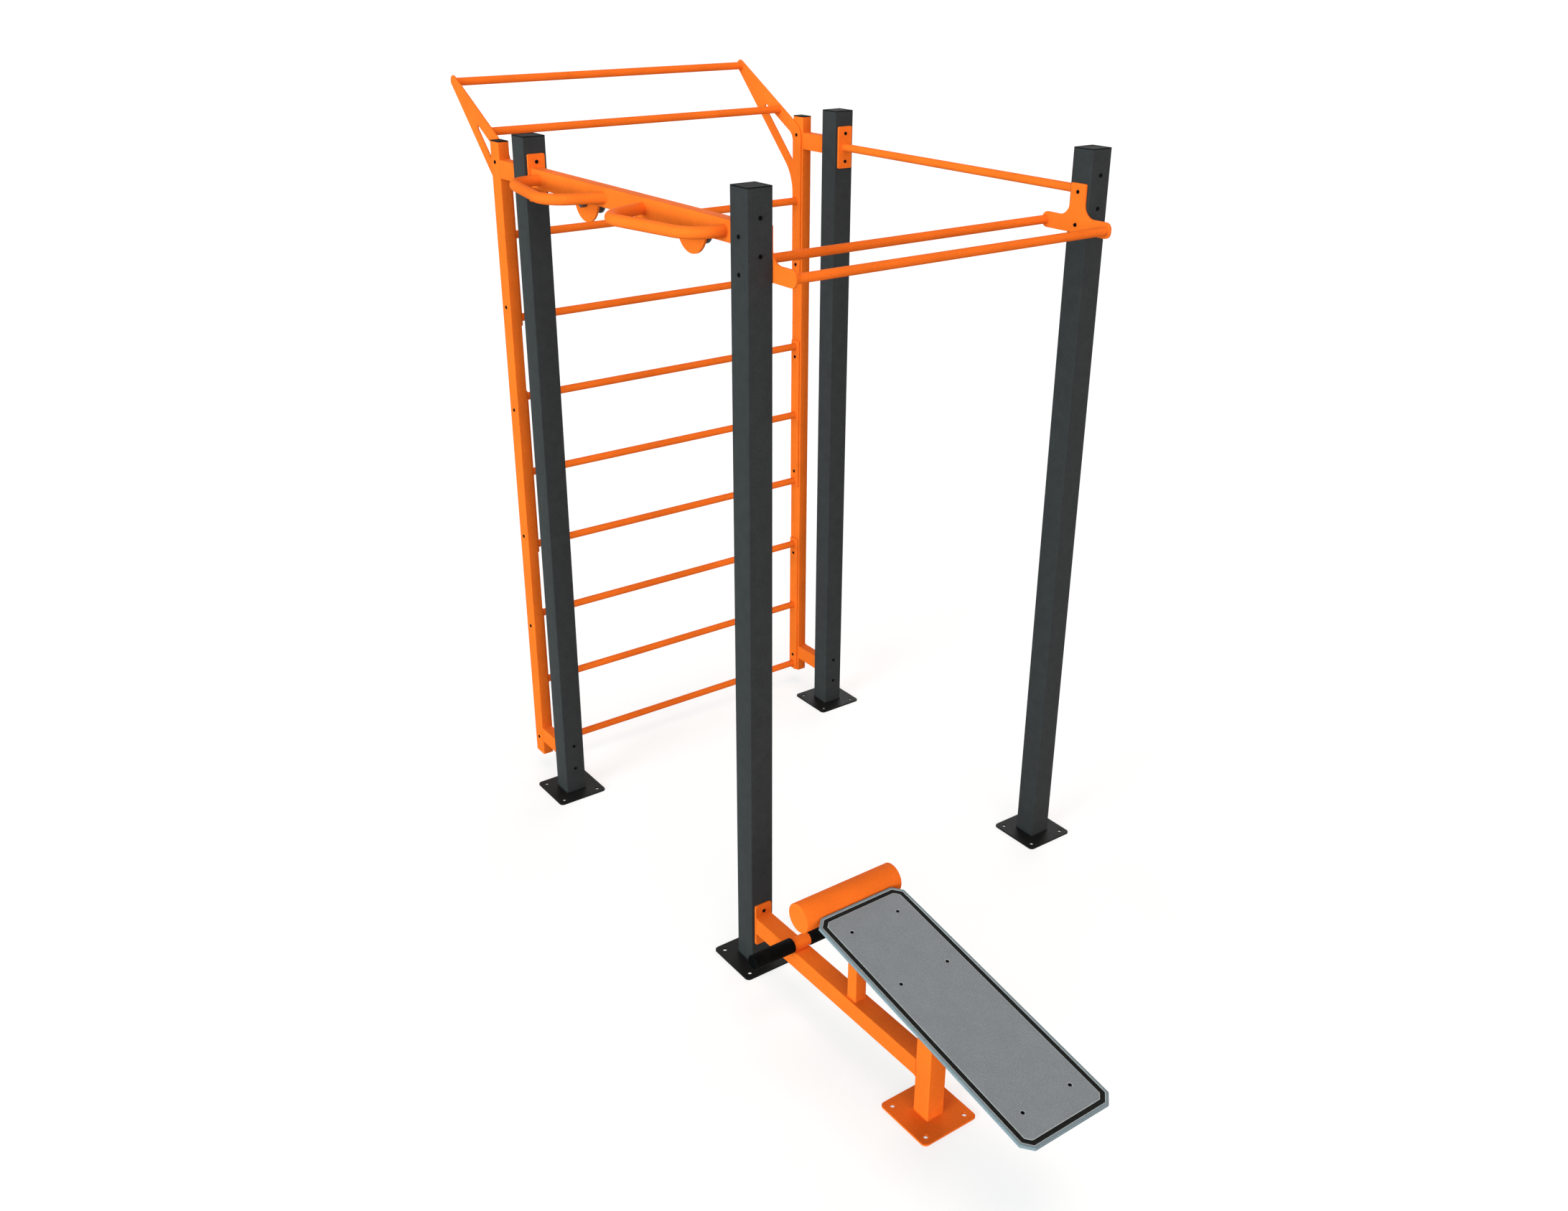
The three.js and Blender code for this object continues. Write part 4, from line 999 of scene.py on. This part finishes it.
onPanel, onUpright = stripSeat + wall["stripThickness"], beam["width"] / 2
for name, x, low, high in (("left", 0, -onUpright, onPanel), ("right", bay, -onPanel, onUpright)):
    heads = headPairs((x, wallY), panelBolts, acrossX, low, high)
    piece(f"panelBolts.{name}", "dark_steel", joined(heads), boltSteel, solid=False)
print("bolts made")


# Floor, light and world
stageLook = {"floor": 120, "floorColour": 0.4, "floorGlow": 0.655, "ambient": 0.13}
lamps = {  # direction towards the lamp, strength over the object, colour, spread in degrees
    "keyLamp": ((-0.97, -0.16, 0.09), 1.67, (0.88, 1.14, 1.16), 36),
    "frontLamp": ((-0.22, -0.92, 0.12), 0.86, (1.08, 1.02, 1.02), 50),
    "backLamp": ((0.77, 0.63, 0.1), 1.02, (1.0, 1.0, 1.0), 60),
    "topLamp": ((0.05, -0.1, 1.0), 0.37, (1.0, 0.87, 0.76), 40),
}
for name, (direction, strength, colour, spread) in lamps.items():
    lamp = bpy.data.lights.new(name, "SUN")
    lamp.energy = strength * math.pi
    lamp.color = colour
    lamp.angle = math.radians(spread)
    placed(name, lamp).rotation_euler = Vector(direction).to_track_quat("Z", "Y").to_euler()


def seenDirectly(finish):
    # 1 on what the camera sees, also in a reflection or through something, and 0 elsewhere
    camera, glossy, through = (finish.node("ShaderNodeLightPath", output=ray) for ray in
                               ("Is Camera Ray", "Is Glossy Ray", "Is Transmission Ray"))
    return camera.math("MAXIMUM", glossy).math("MAXIMUM", through)


floorFinish = Finish("paleFloor", Base_Color=(*[stageLook["floorColour"]] * 3, 1),
                     Emission_Color=(1, 1, 1, 1), Specular_IOR_Level=0.0, Roughness=1.0)
glow = seenDirectly(floorFinish) * stageLook["floorGlow"]
size = stageLook["floor"]  # metres
floorMesh = bpy.data.meshes.new("floor")
floorMesh.from_pydata([(sx * size, sy * size, 0) for sx, sy in cornerSigns], [], [(0, 1, 2, 3)])
floorMesh.materials.append(floorFinish.feed(Emission_Strength=glow))
floor = placed("floor", floorMesh)
floor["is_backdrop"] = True


class WorldFinish(Finish):
    def __init__(self, world):
        self.tree = world.node_tree


world = bpy.data.worlds.new("studio")
world.use_nodes = True
bpy.context.scene.world = world
sky = WorldFinish(world)
background = world.node_tree.nodes["Background"]
seen = seenDirectly(sky)
level = seen + (1 - seen) * stageLook["ambient"]
background.inputs["Color"].default_value = (1, 1, 1, 1)
sky.tree.links.new(level.socket, background.inputs["Strength"])
bpy.context.scene.view_settings.view_transform = "Standard"
print("stage made")

low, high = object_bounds()
{"cad": [list(cadLow), list(cadHigh)], "visual": [list(low), list(high)]}
